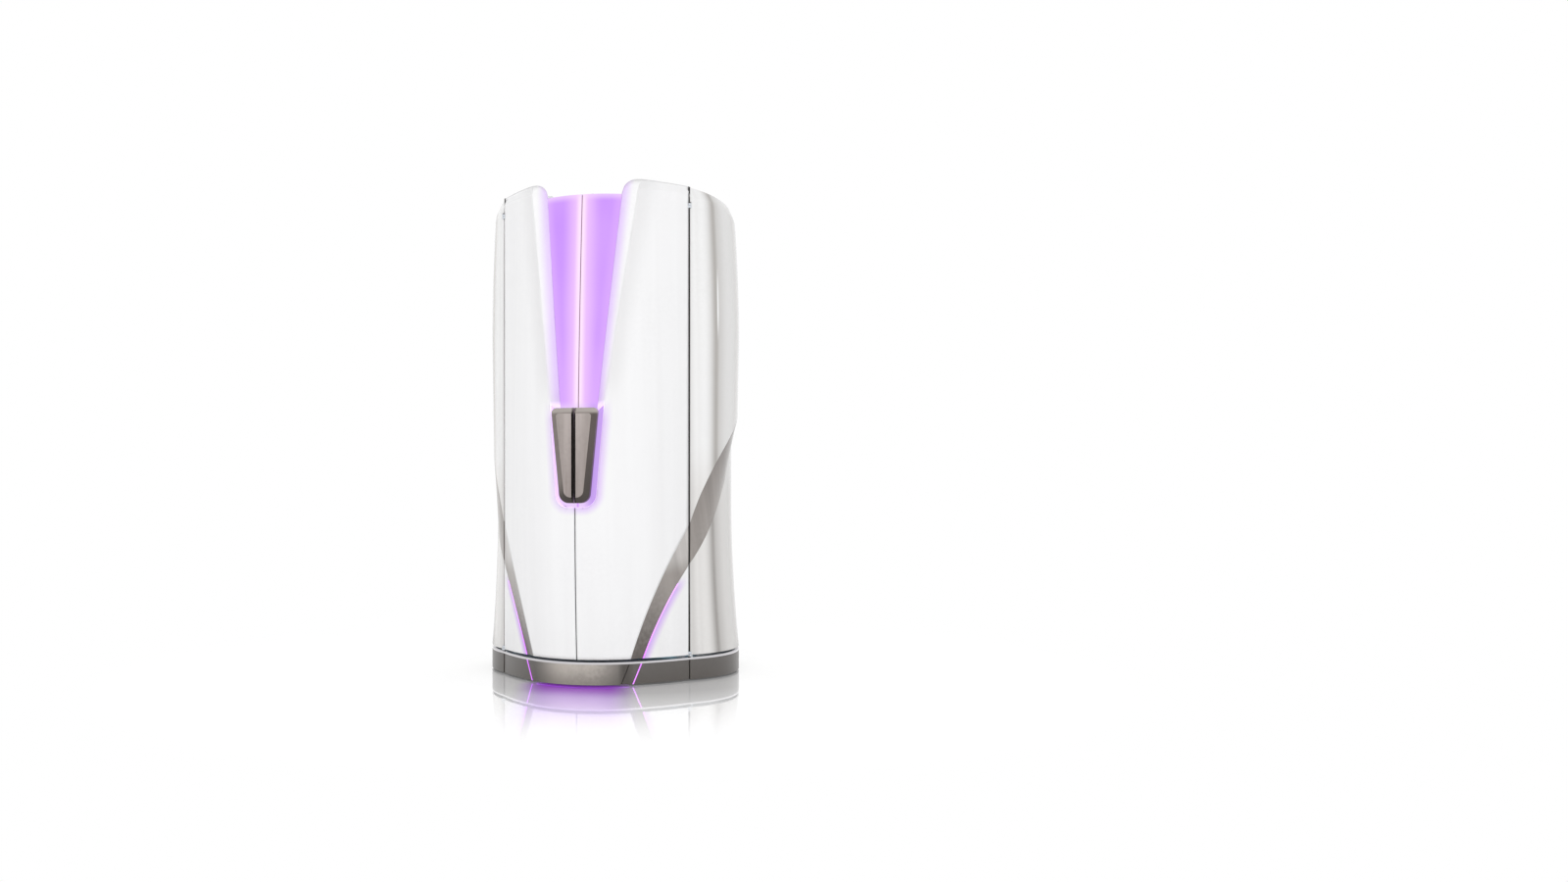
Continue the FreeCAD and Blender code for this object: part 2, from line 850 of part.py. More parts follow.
def build_cabin_lamps():
    """Lamp rails, lamps, reflectors and clear shields round the cabin."""
    start = -s.rail_start
    rail_inner = cabin_radius + s.shield_wall + s.seat_gap
    rails = []
    for label, low, high in (("Low", s.base_top, s.lamp_foot), ("High", lamp_top, s.roof_low)):
        rail = ring_sector("Rail" + label, rail_inner, rail_outer, low, high, start, s.rail_end)
        rails += [rail, mirror("Left" + rail.Name, rail)]
    node("rear_lampholders", group("RearLampholders", rails))

    count = round(float(s.side_lamps))
    first = start + (s.lamp_radius + s.lamp_end_gap) / lamp_circle * math.degrees(1)
    last = s.rail_end - (s.lamp_radius + s.lamp_end_gap) / lamp_circle * math.degrees(1)
    lamps = []
    for number in range(count):
        turn = math.radians(float(first + (last - first) * (number / (count - 1))))
        for side in (1, -1):
            spot = (lamp_circle * (side * math.cos(turn)), lamp_circle * math.sin(turn), s.lamp_foot)
            name = "RearLamp%d%s" % (number, "R" if side > 0 else "L")
            lamps.append(prism(name, spot, s.lamp_radius, s.lamp_length, LAMP_SIDES))
    node("rear_lamps", group("RearLamps", lamps))

    outer = rail_outer
    inner = outer - s.reflector_wall
    low = s.lamp_foot + s.seat_gap
    high = lamp_top - s.seat_gap
    both_sides("rear_reflectors", ring_sector("Reflector", inner, outer, low, high, start, s.rail_end))
    inner = cabin_radius + s.seat_gap
    outer = cabin_radius + s.shield_wall
    shield = ring_sector("Shield", inner, outer, s.base_top, s.roof_low, start, s.rail_end)
    both_sides("rear_shields", shield)


FLANGE_TAPER = 0.7


def build_posts():
    """Aluminium door posts with the fixed hinge ears."""
    body = new_body("DoorPost")
    back = -s.post_back
    front = -s.post_front
    outer = s.entrance_x + s.post_width
    nose = s.post_nose
    flange_x = s.split_x + s.split_gap / 2
    flange_y = -s.split_y + s.shell_wall + s.flange_clearance + s.seat_gap * 2
    corners = [(s.entrance_x + nose, back), (outer, back), (outer, front + nose * 2),
               (flange_x + nose * FLANGE_TAPER, flange_y + nose), (flange_x, flange_y),
               (outer - nose, front), (s.entrance_x + nose, front), (s.entrance_x, front + nose),
               (s.entrance_x, back - nose)]
    section = outline_sketch(body, "PostSection", "XY_Plane", corners, s.base_top)
    pad(body, "PostPad", section, s.roof_low - s.base_top)
    pieces = [body]
    arm_start = Vector(float(outer) - 2 * float(nose), float(front) + float(nose), 0)
    step = float(s.ear_thickness) + float(s.ear_gap)
    for name, low in (("PostEarLow", float(s.low_hinge_height) - step),
                      ("PostEarTop", float(s.top_hinge_height) + step)):
        pieces.append(drawn(name, hinge_ear(arm_start, low)))
    both_sides("front_posts", fuse("FrontPost", pieces))


EAR_TIP_WIDTH = 0.5
EAR_TIP_REACH = 0.9


def hinge_ear(arm_start, low):
    """Flat ear from arm_start to the hinge axis, with a bore for the pin."""
    thick = float(s.ear_thickness)
    axis = Vector(float(s.split_x), -float(s.split_y), low)
    start = Vector(arm_start.x, arm_start.y, low)
    along = axis - start
    across = Vector(-along.y, along.x, 0).normalize() * float(s.ear_radius)
    nose = along.normalize() * float(s.ear_radius)
    tip = nose * EAR_TIP_REACH
    corners = [start + across, start - across, axis - across, axis - across * EAR_TIP_WIDTH + tip,
               axis + across * EAR_TIP_WIDTH + tip, axis + across]
    ear = flat_face(corners).extrude(Vector(0, 0, thick))
    return ear.cut(chord_cylinder(s.pin_radius + s.pin_clearance, thick, axis, PIN_SIDES))


def build_pins():
    """Hinge pins: the low one has its head under the fixed ear, the top one above it."""
    pins = []
    step = s.ear_thickness + s.ear_gap
    length = s.ear_thickness + step
    for name, low, head_low in (
            ("LowPin", s.low_hinge_height - step, s.low_hinge_height - step - s.pin_head),
            ("TopPin", s.top_hinge_height, s.top_hinge_height + length)):
        shaft_spot = (s.split_x, -s.split_y, low)
        head_spot = (s.split_x, -s.split_y, head_low)
        shaft = prism(name + "Shaft", shaft_spot, s.pin_radius, length, PIN_SIDES)
        head = prism(name + "Head", head_spot, s.pin_head_radius, s.pin_head, HEAD_SIDES)
        pins.append(fuse(name, [shaft, head]))
    pins += [mirror("Left" + pin.Name, pin) for pin in pins]
    node("hinge_pins", group("HingePins", pins))


def build_column():
    """Control column at the back of the cabin, with its panel, displays, dock and keys."""
    front = column_front
    half = s.column_half_width
    low = s.base_top
    high = s.roof_low
    body = new_body("Column")
    pad(body, "ColumnPad", outline_sketch(body, "ColumnPlan", "XY_Plane",
                                          rectangle(-half, front, half, rail_outer), low), high - low)
    inner = s.column_panel_half
    seat = front + s.column_panel_recess + s.column_panel_wall
    opening = outline_sketch(body, "PanelSeat", "XY_Plane", rectangle(-inner, front, inner, seat), low)
    pocket(body, "PanelPocket", opening, high - low, True)
    node("column_housing", body)

    fit = inner - s.seat_gap
    face = front + s.column_panel_recess
    node("column_panel", box("ColumnPanel", (-fit, face, s.floor_height + s.seat_gap),
                             (fit * 2, s.column_panel_wall, s.canopy_low - s.floor_height)))

    half = s.strip_half_width
    strip_face = face - s.strip_wall
    plate = box("StripPlate", (-half, strip_face, s.strip_low),
                (half * 2, s.strip_wall, s.strip_high - s.strip_low))
    bores = []
    for name in KEY_HEIGHTS:
        level = getattr(s, name + "_height")
        bore = prism(name.title() + "Bore", (ZERO, strip_face + s.key_depth, level),
                     s.key_radius + s.key_gap, s.key_depth + s.key_proud, KEY_SIDES)
        key = prism(name.title(), (ZERO, strip_face - s.key_proud + s.key_depth, level),
                    s.key_radius, s.key_depth, KEY_SIDES)
        for piece in (bore, key):
            piece.Placement.Rotation = FreeCAD.Rotation(ACROSS, 90)
        bores.append(bore)
        node(name, key)
    node("control_strip", cut("ControlStrip", plate, fuse("KeyBores", bores)))

    screens = []
    for name, level in (("UpperDisplay", s.upper_display_low), ("LowerDisplay", s.lower_display_low)):
        half = s.display_half_width
        screens.append(box(name, (-half, face - s.display_wall, level),
                           (half * 2, s.display_wall, s.display_height)))
    node("column_displays", group("ColumnDisplays", screens))
    half = s.dock_half_width
    dock = new_body("MediaDock")
    dock_face = face - s.dock_wall
    high = s.dock_low + s.dock_height
    pad(dock, "DockPad", outline_sketch(dock, "DockOutline", "XZ_Plane",
                                        rectangle(-half, s.dock_low, half, high), -face), s.dock_wall)
    edge = s.dock_edge
    window = outline_sketch(dock, "DockWindow", "XZ_Plane",
                            rectangle(edge - half, s.dock_low + edge, half - edge, high - edge), -dock_face)
    pocket(dock, "DockPocket", window, s.dock_recess)
    node("media_dock", dock)


# ---------------------------------------------------------------- roof

ROUND_IN = 0.25
ROUND_DOWN = 0.33
STRUTS = 3
FIRST_STRUT = 30
FULL_TURN = 360


def build_roof():
    """Roof plate, fan housing, canopy, speakers, fan, grab ring and air ducts."""
    low = s.roof_low
    high = low + s.roof_plate
    inset = float(s.shell_wall + s.seat_gap)
    level = float(low)
    side = [Vector(point.x, point.y, level) for point in side_line_at(inset, float(high))]
    cover = cover_line(inset, level)[:PLAN_CHORDS + 1]
    corner = Vector(side[-1].x, cover[0].y, level)
    inner = Vector(float(s.entrance_x), -float(s.post_back), level)
    outer = Vector(inner.x, side[0].y, level)
    half = flat_face([Vector(0, inner.y, level), inner, outer] + side + [corner] + cover)
    half = half.extrude(Vector(0, 0, float(s.roof_plate)))
    half = half.cut(slab(Vector(0, -REACH, level - OVERSHOOT),
                         Vector(REACH, -float(s.post_front), SKY)))
    plate = half.fuse(half.mirror(Vector(), ACROSS)).removeSplitter()
    holes = roof_openings(s.fan_opening + s.shroud_wall, low)
    node("roof_frame", drawn("RoofFrame", plate.cut(holes)))

    radius = s.housing_radius
    wall = s.housing_wall
    rounding = s.housing_round
    top = s.housing_top
    shoulder = radius - rounding * ROUND_IN
    shoulder_height = top - rounding * ROUND_DOWN
    housing = lathe([
        (radius - wall, high), (radius, high), (radius, top - rounding), (shoulder, shoulder_height),
        (radius - rounding, top), (s.exhaust_radius, top), (s.exhaust_radius, top - wall),
        (radius - rounding, top - wall), (shoulder - wall, shoulder_height - wall),
        (radius - wall, top - rounding)], TURN_CHORDS)
    node("fan_housing", drawn("FanHousing", housing))

    canopy = cabin_plate(s.seat_gap, s.canopy_low, low)
    skirt_inside = cabin_plate(s.seat_gap + s.canopy_skirt, s.canopy_low, low - s.canopy_plate)
    canopy = canopy.cut(skirt_inside)
    openings = roof_openings(s.fan_opening, s.canopy_low)
    column = slab(Vector(-REACH, float(column_front - s.dock_wall), 0), Vector(REACH, REACH, SKY))
    canopy = canopy.cut(Part.makeCompound([openings, column]))
    node("ceiling_canopy", drawn("CeilingCanopy", canopy))

    face = low - s.canopy_plate
    dish = face + s.speaker_dish
    speaker = lathe([(ZERO, dish), (s.speaker_core, dish), (s.speaker_cone, face), (s.speaker_radius, face),
                     (s.speaker_radius, high), (ZERO, high)], SPEAKER_CHORDS, float(s.speaker_x))
    both_sides("ceiling_speakers", drawn("Speaker", speaker))

    inner = s.fan_opening
    outer = inner + s.shroud_wall - s.seat_gap
    shroud_top = high + s.shroud_rise
    tube = cut("ShroudTube", prism("ShroudOuter", (ZERO, ZERO, low), outer, shroud_top - low, TURN_CHORDS),
               prism("ShroudInner", (ZERO, ZERO, low), inner, shroud_top - low, TURN_CHORDS))
    motor_low = shroud_top - s.strut_width
    motor = prism("MotorCan", (ZERO, ZERO, motor_low), s.motor_radius, s.motor_height, SPEAKER_CHORDS)
    bore_radius = (s.shaft_radius + s.pin_clearance) / math.cos(math.pi / PIN_SIDES)
    bore = prism("MotorBore", (ZERO, ZERO, motor_low), bore_radius, s.motor_height / 2, PIN_SIDES)
    pieces = [tube, motor]
    reach = inner + s.shroud_wall / 2
    thick = s.strut_width / 2
    for number in range(round(STRUTS)):
        arm = box("Strut%d" % number, (ZERO, ZERO, motor_low + thick), (reach, s.strut_width, thick))
        arm.Placement.Rotation = FreeCAD.Rotation(UP, FIRST_STRUT + FULL_TURN / STRUTS * number)
        pieces.append(arm)
    node("fan_shroud", cut("FanShroud", fuse("ShroudFrame", pieces), bore))

    build_rotor(motor_low)

    tube_corners = []
    for turn in spaced(0, 2 * math.pi, TUBE_SIDES)[:-1]:
        tube_corners.append((s.grab_ring_radius + s.grab_tube_radius * math.cos(turn),
                             s.grab_ring_height + s.grab_tube_radius * math.sin(turn)))
    ring = drawn("GrabTube", lathe(tube_corners, TURN_CHORDS))
    rod_y = math.sqrt(float(s.grab_ring_radius) ** 2 - float(s.grab_rod_x) ** 2)
    pieces = [ring]
    rod_height = low - s.canopy_plate - s.grab_ring_height - s.seat_gap
    for number, (side_sign, end_sign) in enumerate(((1, 1), (1, -1), (-1, 1), (-1, -1))):
        spot = (s.grab_rod_x * side_sign, ZERO + end_sign * rod_y, s.grab_ring_height)
        pieces.append(prism("GrabRod%d" % number, spot, s.grab_rod_radius, rod_height, TUBE_SIDES))
    node("grab_ring", fuse("GrabRing", pieces))

    duct_low = high
    width = s.duct_outer_x - s.duct_inner_x
    depth = s.duct_front - s.duct_back
    height = s.shell_top - duct_low
    duct = Part.makeBox(float(width), float(depth), float(height),
                        Vector(float(s.duct_inner_x), -float(s.duct_front), float(duct_low)))
    upper = [edge for edge in duct.Edges
             if abs(edge.BoundBox.ZLength) < FLATNESS and edge.CenterOfMass.z > float(duct_low) + OVERSHOOT]
    duct = duct.makeChamfer(float(s.duct_corner), upper)
    margin = float(s.duct_mouth_margin)
    mouth_low = Vector(float(s.duct_inner_x) + margin, -float(s.duct_front) - OVERSHOOT,
                       float(duct_low) + margin)
    mouth_high = Vector(float(s.duct_outer_x) - margin, float(s.duct_mouth_depth) - float(s.duct_front),
                        float(s.shell_top) - margin)
    duct = duct.cut(slab(mouth_low, mouth_high))
    duct = duct.cut(round_tool(radius + s.seat_gap, ZERO, duct_low, TURN_CHORDS))
    both_sides("air_ducts", drawn("AirDuct", duct))


def roof_openings(fan_radius, low):
    """Holes for the fan and the two speakers, from a level upwards."""
    tools = [round_tool(fan_radius, ZERO, low, TURN_CHORDS)]
    for side_sign in (1, -1):
        tools.append(round_tool(s.speaker_radius + s.seat_gap, s.speaker_x * side_sign, low, SPEAKER_CHORDS))
    return Part.makeCompound(tools)


def round_tool(radius, x, low, chords):
    """Tall cutter with a round plan in chords."""
    reach = float(radius)
    points = ellipse_points(reach, reach, 0, 2 * math.pi, float(low) - OVERSHOOT, chords)[:-1]
    tool = flat_face(points).extrude(Vector(0, 0, REACH))
    tool.translate(Vector(float(x), 0, 0))
    return tool


BLADE_TWIST = 0.45
BLADE_ROOT_CHORD = 0.6
BLADE_SECTIONS = (0, 0.5, 1)


def build_rotor(motor_low):
    """Axial fan: a hub with pitched, tapered blades and a shaft into the motor."""
    gap = float(s.hub_gap)
    hub_low = float(motor_low - s.hub_height) - gap
    base = Vector(0, 0, hub_low)
    hub = chord_cylinder(s.hub_radius, float(s.hub_height), base, SPEAKER_CHORDS)
    thin = float(s.shaft_radius)
    shaft_plan = ellipse_points(thin, thin, 0, 2 * math.pi, hub_low, PIN_SIDES)
    shaft_length = float(s.hub_height) + gap + float(s.motor_height) / 2 - float(s.shaft_end_gap)
    rotor = hub.fuse(flat_face(shaft_plan[:-1]).extrude(Vector(0, 0, shaft_length)))
    middle = hub_low + float(s.hub_height) / 2
    root = float(s.hub_radius) - gap
    sections = []
    for share in BLADE_SECTIONS:
        radius = root + (float(s.blade_reach) - root) * share
        pitch = math.radians(float(s.blade_pitch)) * (1 - BLADE_TWIST * share)
        chord = float(s.blade_chord) * (BLADE_ROOT_CHORD + (1 - BLADE_ROOT_CHORD) * share)
        along = Vector(0, math.cos(pitch), math.sin(pitch)) * (chord / 2)
        normal = Vector(0, -math.sin(pitch), math.cos(pitch)) * (float(s.blade_wall) / 2)
        centre = Vector(radius, 0, middle)
        sections.append([centre - along - normal, centre + along - normal,
                         centre + along + normal, centre - along + normal])
    blade = chord_loft(sections)
    blade = blade.common(slab(Vector(0, -REACH, float(s.roof_low) + OVERSHOOT),
                              Vector(REACH, REACH, float(motor_low) - OVERSHOOT)))
    for number in range(round(float(s.blades))):
        copy = blade.copy()
        copy.rotate(Vector(), UP, FULL_TURN / round(float(s.blades)) * number)
        rotor = rotor.fuse(copy)
    node("fan_rotor", drawn("FanRotor", rotor))


# ---------------------------------------------------------------- rear cover and side shells

def build_rear_cover():
    """Wrap-around rear cover with a column of louvres."""
    height = float(rear_top - rim_top)
    plan = cover_line(ZERO, rim_top) + cover_line(s.shell_wall, rim_top)[::-1]
    cover = flat_face(plan).extrude(Vector(0, 0, height))
    half = float(s.louvre_width) / 2
    slots = []
    for number in range(round(float(s.louvre_count))):
        level = float(s.louvre_low) + float(s.louvre_pitch) * number
        slots.append(slab(Vector(-half, 0, level), Vector(half, REACH, level + float(s.louvre_height))))
    node("rear_cover", drawn("RearCover", cover.cut(Part.makeCompound(slots))))


def side_ramp_edges():
    """Upper and lower edge of the ramp in the side elevation, from the split backwards."""
    split = -s.split_y
    high = [(split, s.ramp_split_height), (-s.ramp_side_y, s.ramp_side_height),
            (s.side_end_y + OVERSHOOT, s.ramp_tip_height)]
    low = [(split, s.ramp_low_split_height), (-s.ramp_low_side_y, s.ramp_low_side_height),
           (s.ramp_low_back_y, s.ramp_low_back_height),
           (s.side_end_y + OVERSHOOT, s.ramp_tip_height - s.ramp_tip_width)]
    return high, low


def front_ramp_edges():
    """Upper and lower edge of the ramp in the front elevation, from below the door to the split."""
    high = [(s.ramp_foot_x, s.base_top), (s.ramp_bend_x, s.ramp_bend_height),
            (s.split_x, s.ramp_split_height)]
    low = [(s.ramp_low_foot_x, s.base_top), (s.ramp_low_bend_x, s.ramp_low_bend_height),
           (s.split_x, s.ramp_low_split_height)]
    return high, low


def lifted(points, rise):
    """Elevation points moved up by rise."""
    return [(a, b + rise) for a, b in points]


def hinge_notches():
    """Clearance round the hinge ears in the shells on both sides of the split."""
    axis = Vector(float(s.split_x), -float(s.split_y), 0)
    step = float(s.ear_thickness) + float(s.ear_gap)
    cuts = []
    for level in (float(s.low_hinge_height), float(s.top_hinge_height)):
        low = level - step - float(s.ear_gap)
        high = level + step + float(s.ear_thickness) + float(s.pin_head) + float(s.ear_gap)
        cuts.append(chord_cylinder(s.notch_radius, high - low, axis + Vector(0, 0, low), NOTCH_SIDES))
    return Part.makeCompound(cuts)


def build_side_shells():
    """Upper and lower side shells and the ramp between them."""
    split = float(s.split_x) + float(s.split_gap) / 2
    before_split = slab(Vector(0, -REACH, 0), Vector(split, 0, SKY))
    notches = hinge_notches()
    wall = float(s.shell_wall)
    end = s.side_end_y + OVERSHOOT
    high_edge, low_edge = side_ramp_edges()
    gap = float(s.ramp_gap)

    upper = side_blank(upper_half_width, 0, wall, s.ramp_low_split_height, side_top)
    raised = lifted(high_edge, gap)
    region = side_prism([raised, [raised[-1], (end, rear_top)], [(end, rear_top), (-s.split_y, side_top)],
                         [(-s.split_y, side_top), raised[0]]])
    upper = upper.common(region).cut(before_split).cut(notches)
    both_sides("side_shells_upper", drawn("SideShellUpper", upper))

    lower = side_blank(lower_half_width, 0, wall, door_low, s.ramp_tip_height)
    lowered = lifted(low_edge, -gap)
    below = door_low - OVERSHOOT
    region = side_prism([lowered, [lowered[-1], (end, below)], [(end, below), (-s.split_y, below)],
                         [(-s.split_y, below), lowered[0]]])
    lower = lower.common(region).cut(before_split).cut(notches)
    both_sides("side_shells_lower", drawn("SideShellLower", lower))

    ramp = ramp_loft([(point_on_side(spot_high, upper_half_width), point_on_side(spot_low, lower_half_width))
                      for spot_high, spot_low in ramp_stations(high_edge, low_edge)], -ACROSS)
    both_sides("side_ramps", drawn("SideRamp", ramp.cut(before_split)))


def ramp_stations(high_edge, low_edge):
    """Pairs of elevation points across the ramp."""
    return list(zip(smooth_points(high_edge), smooth_points(low_edge)))


def point_on_side(spot, half_width):
    """Point of the side wall at an elevation point (y, z)."""
    wide = half_width(spot.y)
    if spot.x < 0:
        deep = float(s.split_y) / math.sqrt(1 - (float(s.split_x) / wide) ** 2)
    else:
        deep = float(s.rear_radius)
    return Vector(wide * math.sqrt(max(0, 1 - (spot.x / deep) ** 2)), spot.x, spot.y)


def ramp_loft(pairs, inwards):
    """Band of the shell's thickness lofted through pairs of edge points, made thick along inwards."""
    sections = []
    step = inwards * float(s.shell_wall)
    for high, low in pairs:
        sections.append([high, low, low + step, high + step])
    return chord_loft(sections)


# ---------------------------------------------------------------- door shells

def opening_x(height, bevel):
    """Half width of the lit opening at a height; bevel 0 is its inner edge, 1 its outer edge."""
    share = (height - float(s.opening_low_height)) / (float(s.shell_top) - float(s.opening_low_height))
    inner = float(s.opening_low_x) + (float(s.opening_top_x) - float(s.opening_low_x)) * share
    wide = float(s.bevel_low_width) + (float(s.bevel_top_width) - float(s.bevel_low_width)) * share
    return inner + wide * bevel


def opening_prism(bevel, shrink):
    """Lit opening as a prism through the door front."""
    low = float(s.handle_high)
    high = float(s.shell_top) + OVERSHOOT
    low_x = opening_x(low, bevel) - shrink
    high_x = opening_x(high, bevel) - shrink
    return front_prism([[(0, low), (low_x, low)], [(low_x, low), (high_x, high)],
                        [(high_x, high), (0, high)], [(0, high), (0, low)]])


def corner_arc(before, corner, after, radius):
    """Chords of the arc that rounds a corner between two straight edges."""
    back = (before - corner).normalize()
    onward = (after - corner).normalize()
    half = back.getAngle(onward) / 2
    centre = corner + (back + onward).normalize() * (radius / math.sin(half))
    start = corner + back * (radius / math.tan(half)) - centre
    sweep = math.pi - 2 * half
    unit = start * (1 / radius)
    across = (onward - unit * onward.dot(unit)).normalize() * radius
    return [centre + start * math.cos(turn) + across * math.sin(turn)
            for turn in spaced(0, sweep, CORNER_CHORDS)]


def handle_outline(margin, inner_x, level):
    """Half of the handle's outline in the front elevation at a depth, widened by margin."""
    low = float(s.handle_low) - margin
    high = float(s.handle_high) + margin
    foot = Vector(inner_x, level, low)
    corner = Vector(float(s.handle_low_x) + margin, level, low)
    head = Vector(float(s.handle_top_x) + margin, level, high)
    rounded = corner_arc(foot, corner, head, float(s.handle_corner) + margin / 2)
    return [foot] + rounded + [head, Vector(inner_x, level, high)]


def handle_prism(margin):
    """Half of the handle's outline, widened by margin, as a prism through the door front."""
    return flat_face(handle_outline(margin, 0, 0)).extrude(Vector(0, -REACH, 0))


def opening_corner():
    """Space above the rounded top corner of the bevel, as a prism through the door front."""
    radius = float(s.opening_corner)
    top = float(s.shell_top)
    centre = Vector(opening_x(top, 0) + radius, 0, top - radius)
    arc = [centre + Vector(-radius * math.cos(turn), 0, radius * math.sin(turn))
           for turn in spaced(0, math.pi / 2, CORNER_CHORDS)]
    above = Vector(0, 0, OVERSHOOT)
    points = [Vector(0, 0, top - radius)] + arc + [arc[-1] + above, Vector(0, 0, top) + above]
    return flat_face(points).extrude(Vector(0, -REACH, 0))


def bevel_solid():
    """White bevel that falls from the shell to the lit panel."""
    sections = []
    wall = float(s.shell_wall)
    lap = float(s.bevel_lap)
    low = float(s.handle_high) + float(s.handle_margin) - lap
    for height in spaced(low, float(s.shell_top), BEVEL_CHORDS):
        outer_x = opening_x(height, 1) + lap
        inner_x = opening_x(height, 0)
        corners = [door_point(outer_x, height, OVERSHOOT),
                   door_point(opening_x(height, 1), height, 0),
                   door_point(inner_x, height, s.panel_recess),
                   door_point(inner_x, height, panel_back),
                   door_point(outer_x, height, wall)]
        sections.append(corners)
    return chord_loft(sections)


FLANGE_REACH = 300
STRIP_LAP = 60


def build_door_shells():
    """Moulded front of a door: upper shell with bevel and handle well, lit panel, ramp, lower shell."""
    wall = float(s.shell_wall)
    gap = float(s.seat_gap)
    seam = float(s.seam_gap)
    split = float(s.split_x) - float(s.split_gap) / 2
    low = float(door_low)
    top = float(s.shell_top)
    high_edge, low_edge = front_ramp_edges()
    margin = float(s.handle_margin)
    notches = hinge_notches()
    ends = Part.makeCompound([slab(Vector(-OVERSHOOT, -REACH, 0), Vector(seam, 0, SKY)),
                              slab(Vector(split, -REACH, 0), Vector(REACH, 0, SKY))])
    fin_end = -float(s.face_y) - float(s.free_fin_depth) * math.cos(face_turn) - gap

    skin = door_blank(0, wall)
    raised = lifted(high_edge, float(s.ramp_gap))
    drop = float(side_top)
    region = front_prism([[(0, s.base_top), (s.ramp_foot_x, s.base_top)],
                          [(s.ramp_foot_x, s.base_top), raised[0]], raised,
                          [raised[-1], (s.split_x, drop)], [(s.split_x, drop), (opening_x(top, 1), top)],
                          [(opening_x(top, 1), top), (0, top)], [(0, top), (0, s.base_top)]])
    upper = skin.common(region)
    well = handle_prism(margin)
    opening = opening_prism(1, 0)
    upper = upper.cut(opening.fuse(well))
    well_wall = door_blank(OVERSHOOT, panel_back).common(handle_prism(margin + wall)).cut(well)
    inner_opening = opening_prism(0, 0)
    well_wall = well_wall.cut(inner_opening)
    bevel = bevel_solid().cut(handle_prism(margin).fuse(opening_corner()))
    over_bevel = opening_prism(1, 0).cut(bevel)
    well_wall = well_wall.cut(over_bevel)
    flange_top = float(s.handle_low) - margin - OVERSHOOT
    flange = door_blank(OVERSHOOT, FLANGE_REACH).common(
        slab(Vector(seam, -REACH, low), Vector(seam + wall, fin_end, flange_top)))
    upper = upper.fuse([well_wall, bevel, flange]).removeSplitter()
    upper = upper.cut(ends).cut(notches)
    pair_of_nodes("door_shell_upper", drawn("DoorShellUpper", upper))

    lower_skin = door_blank(0, wall, s.lower_recess)
    lowered = lifted(low_edge, -float(s.ramp_gap))
    region = front_prism([lowered, [lowered[-1], (s.split_x, s.base_top - OVERSHOOT)],
                          [(s.split_x, s.base_top - OVERSHOOT), lowered[0]]])
    lower = lower_skin.common(region).cut(ends).cut(notches)
    pair_of_nodes("door_shell_lower", drawn("DoorShellLower", lower))

    pairs = []
    for spot_high, spot_low in ramp_stations(high_edge, low_edge):
        pairs.append((door_point(spot_high.x, spot_high.y, 0),
                      door_point(spot_low.x, spot_low.y, 0, s.lower_recess)))
    below = slab(Vector(0, -REACH, 0), Vector(REACH, 0, low))
    ramp = ramp_loft(pairs, Vector(0, 1, 0)).cut(ends).cut(below)
    strip_pairs = []
    wide = float(s.led_width)
    for spot_high, spot_low in ramp_stations(high_edge, low_edge):
        if spot_low.y < float(s.ramp_led_height) + STRIP_LAP:
            near = door_point(spot_low.x, spot_low.y, -s.led_stand, s.lower_recess)
            far = door_point(spot_low.x + wide, spot_low.y, -s.led_stand, s.lower_recess)
            strip_pairs.append((near, far))
    above = slab(Vector(0, -REACH, float(s.ramp_led_height)), Vector(REACH, 0, SKY))
    strip = ramp_strip(strip_pairs).cut(below).cut(above)
    pair_of_nodes("door_ramp", drawn("DoorRamp", ramp))
    pair_of_nodes("door_led", drawn("DoorLed", strip))

    sheet_blank = door_blank(s.panel_recess, panel_back)
    inside = opening_prism(0, gap).fuse(handle_prism(margin - gap))
    panel = sheet_blank.common(inside)
    flange_corner = Vector(seam + wall, fin_end, float(panel_top))
    side_flange = door_blank(s.panel_recess, FLANGE_REACH).common(
        slab(Vector(seam, -REACH, float(s.handle_high) + gap), flange_corner))
    panel = panel.fuse(side_flange).removeSplitter()
    panel = panel.cut(slab(Vector(-OVERSHOOT, -REACH, 0), Vector(seam, 0, SKY)))
    panel = panel.cut(slab(Vector(-OVERSHOOT, -REACH, float(panel_top)), Vector(REACH, 0, SKY)))
    handle_plate = slab(Vector(-OVERSHOOT, -REACH, float(s.handle_low)),
                        Vector(seam + wall + gap, 0, float(s.handle_high) + gap))
    panel = panel.cut(handle_plate)
    pair_of_nodes("door_light_panel", drawn("DoorLightPanel", panel))

    build_handle(fin_end)


def ramp_strip(pairs):
    """Thin lit strip lofted through pairs of points."""
    sections = []
    out = Vector(0, -float(s.led_thickness), 0)
    for near, far in pairs:
        sections.append([near, far, far + out, near + out])
    return chord_loft(sections)


def build_handle(fin_end):
    """Half handle: a bevelled bar that stands clear of the lit panel, and its seam plate."""
    seam = float(s.seam_gap)
    wall = float(s.shell_wall)
    front = float(s.waist_depth + s.handle_proud)
    bevel = float(s.handle_bevel)
    bar = chord_loft([handle_outline(0, seam, float(s.handle_thickness) - front),
                      handle_outline(0, seam, bevel - front),
                      handle_outline(-bevel, seam, -front)])
    plate_front = OVERSHOOT + bevel - front
    plate = slab(Vector(seam, plate_front, float(s.handle_low)),
                 Vector(seam + wall, fin_end, float(s.handle_high)))
    pair_of_nodes("door_handle", drawn("DoorHandle", bar.fuse(plate).removeSplitter()))


# ---------------------------------------------------------------- door frame and lamps

def door_axes():
    """Placement of the door's own axes: along its inner face, with outwards as -Y."""
    corner = Vector(float(s.seam_gap), -float(s.face_y), 0)
    return FreeCAD.Placement(corner, FreeCAD.Rotation(UP, float(s.face_tilt)))


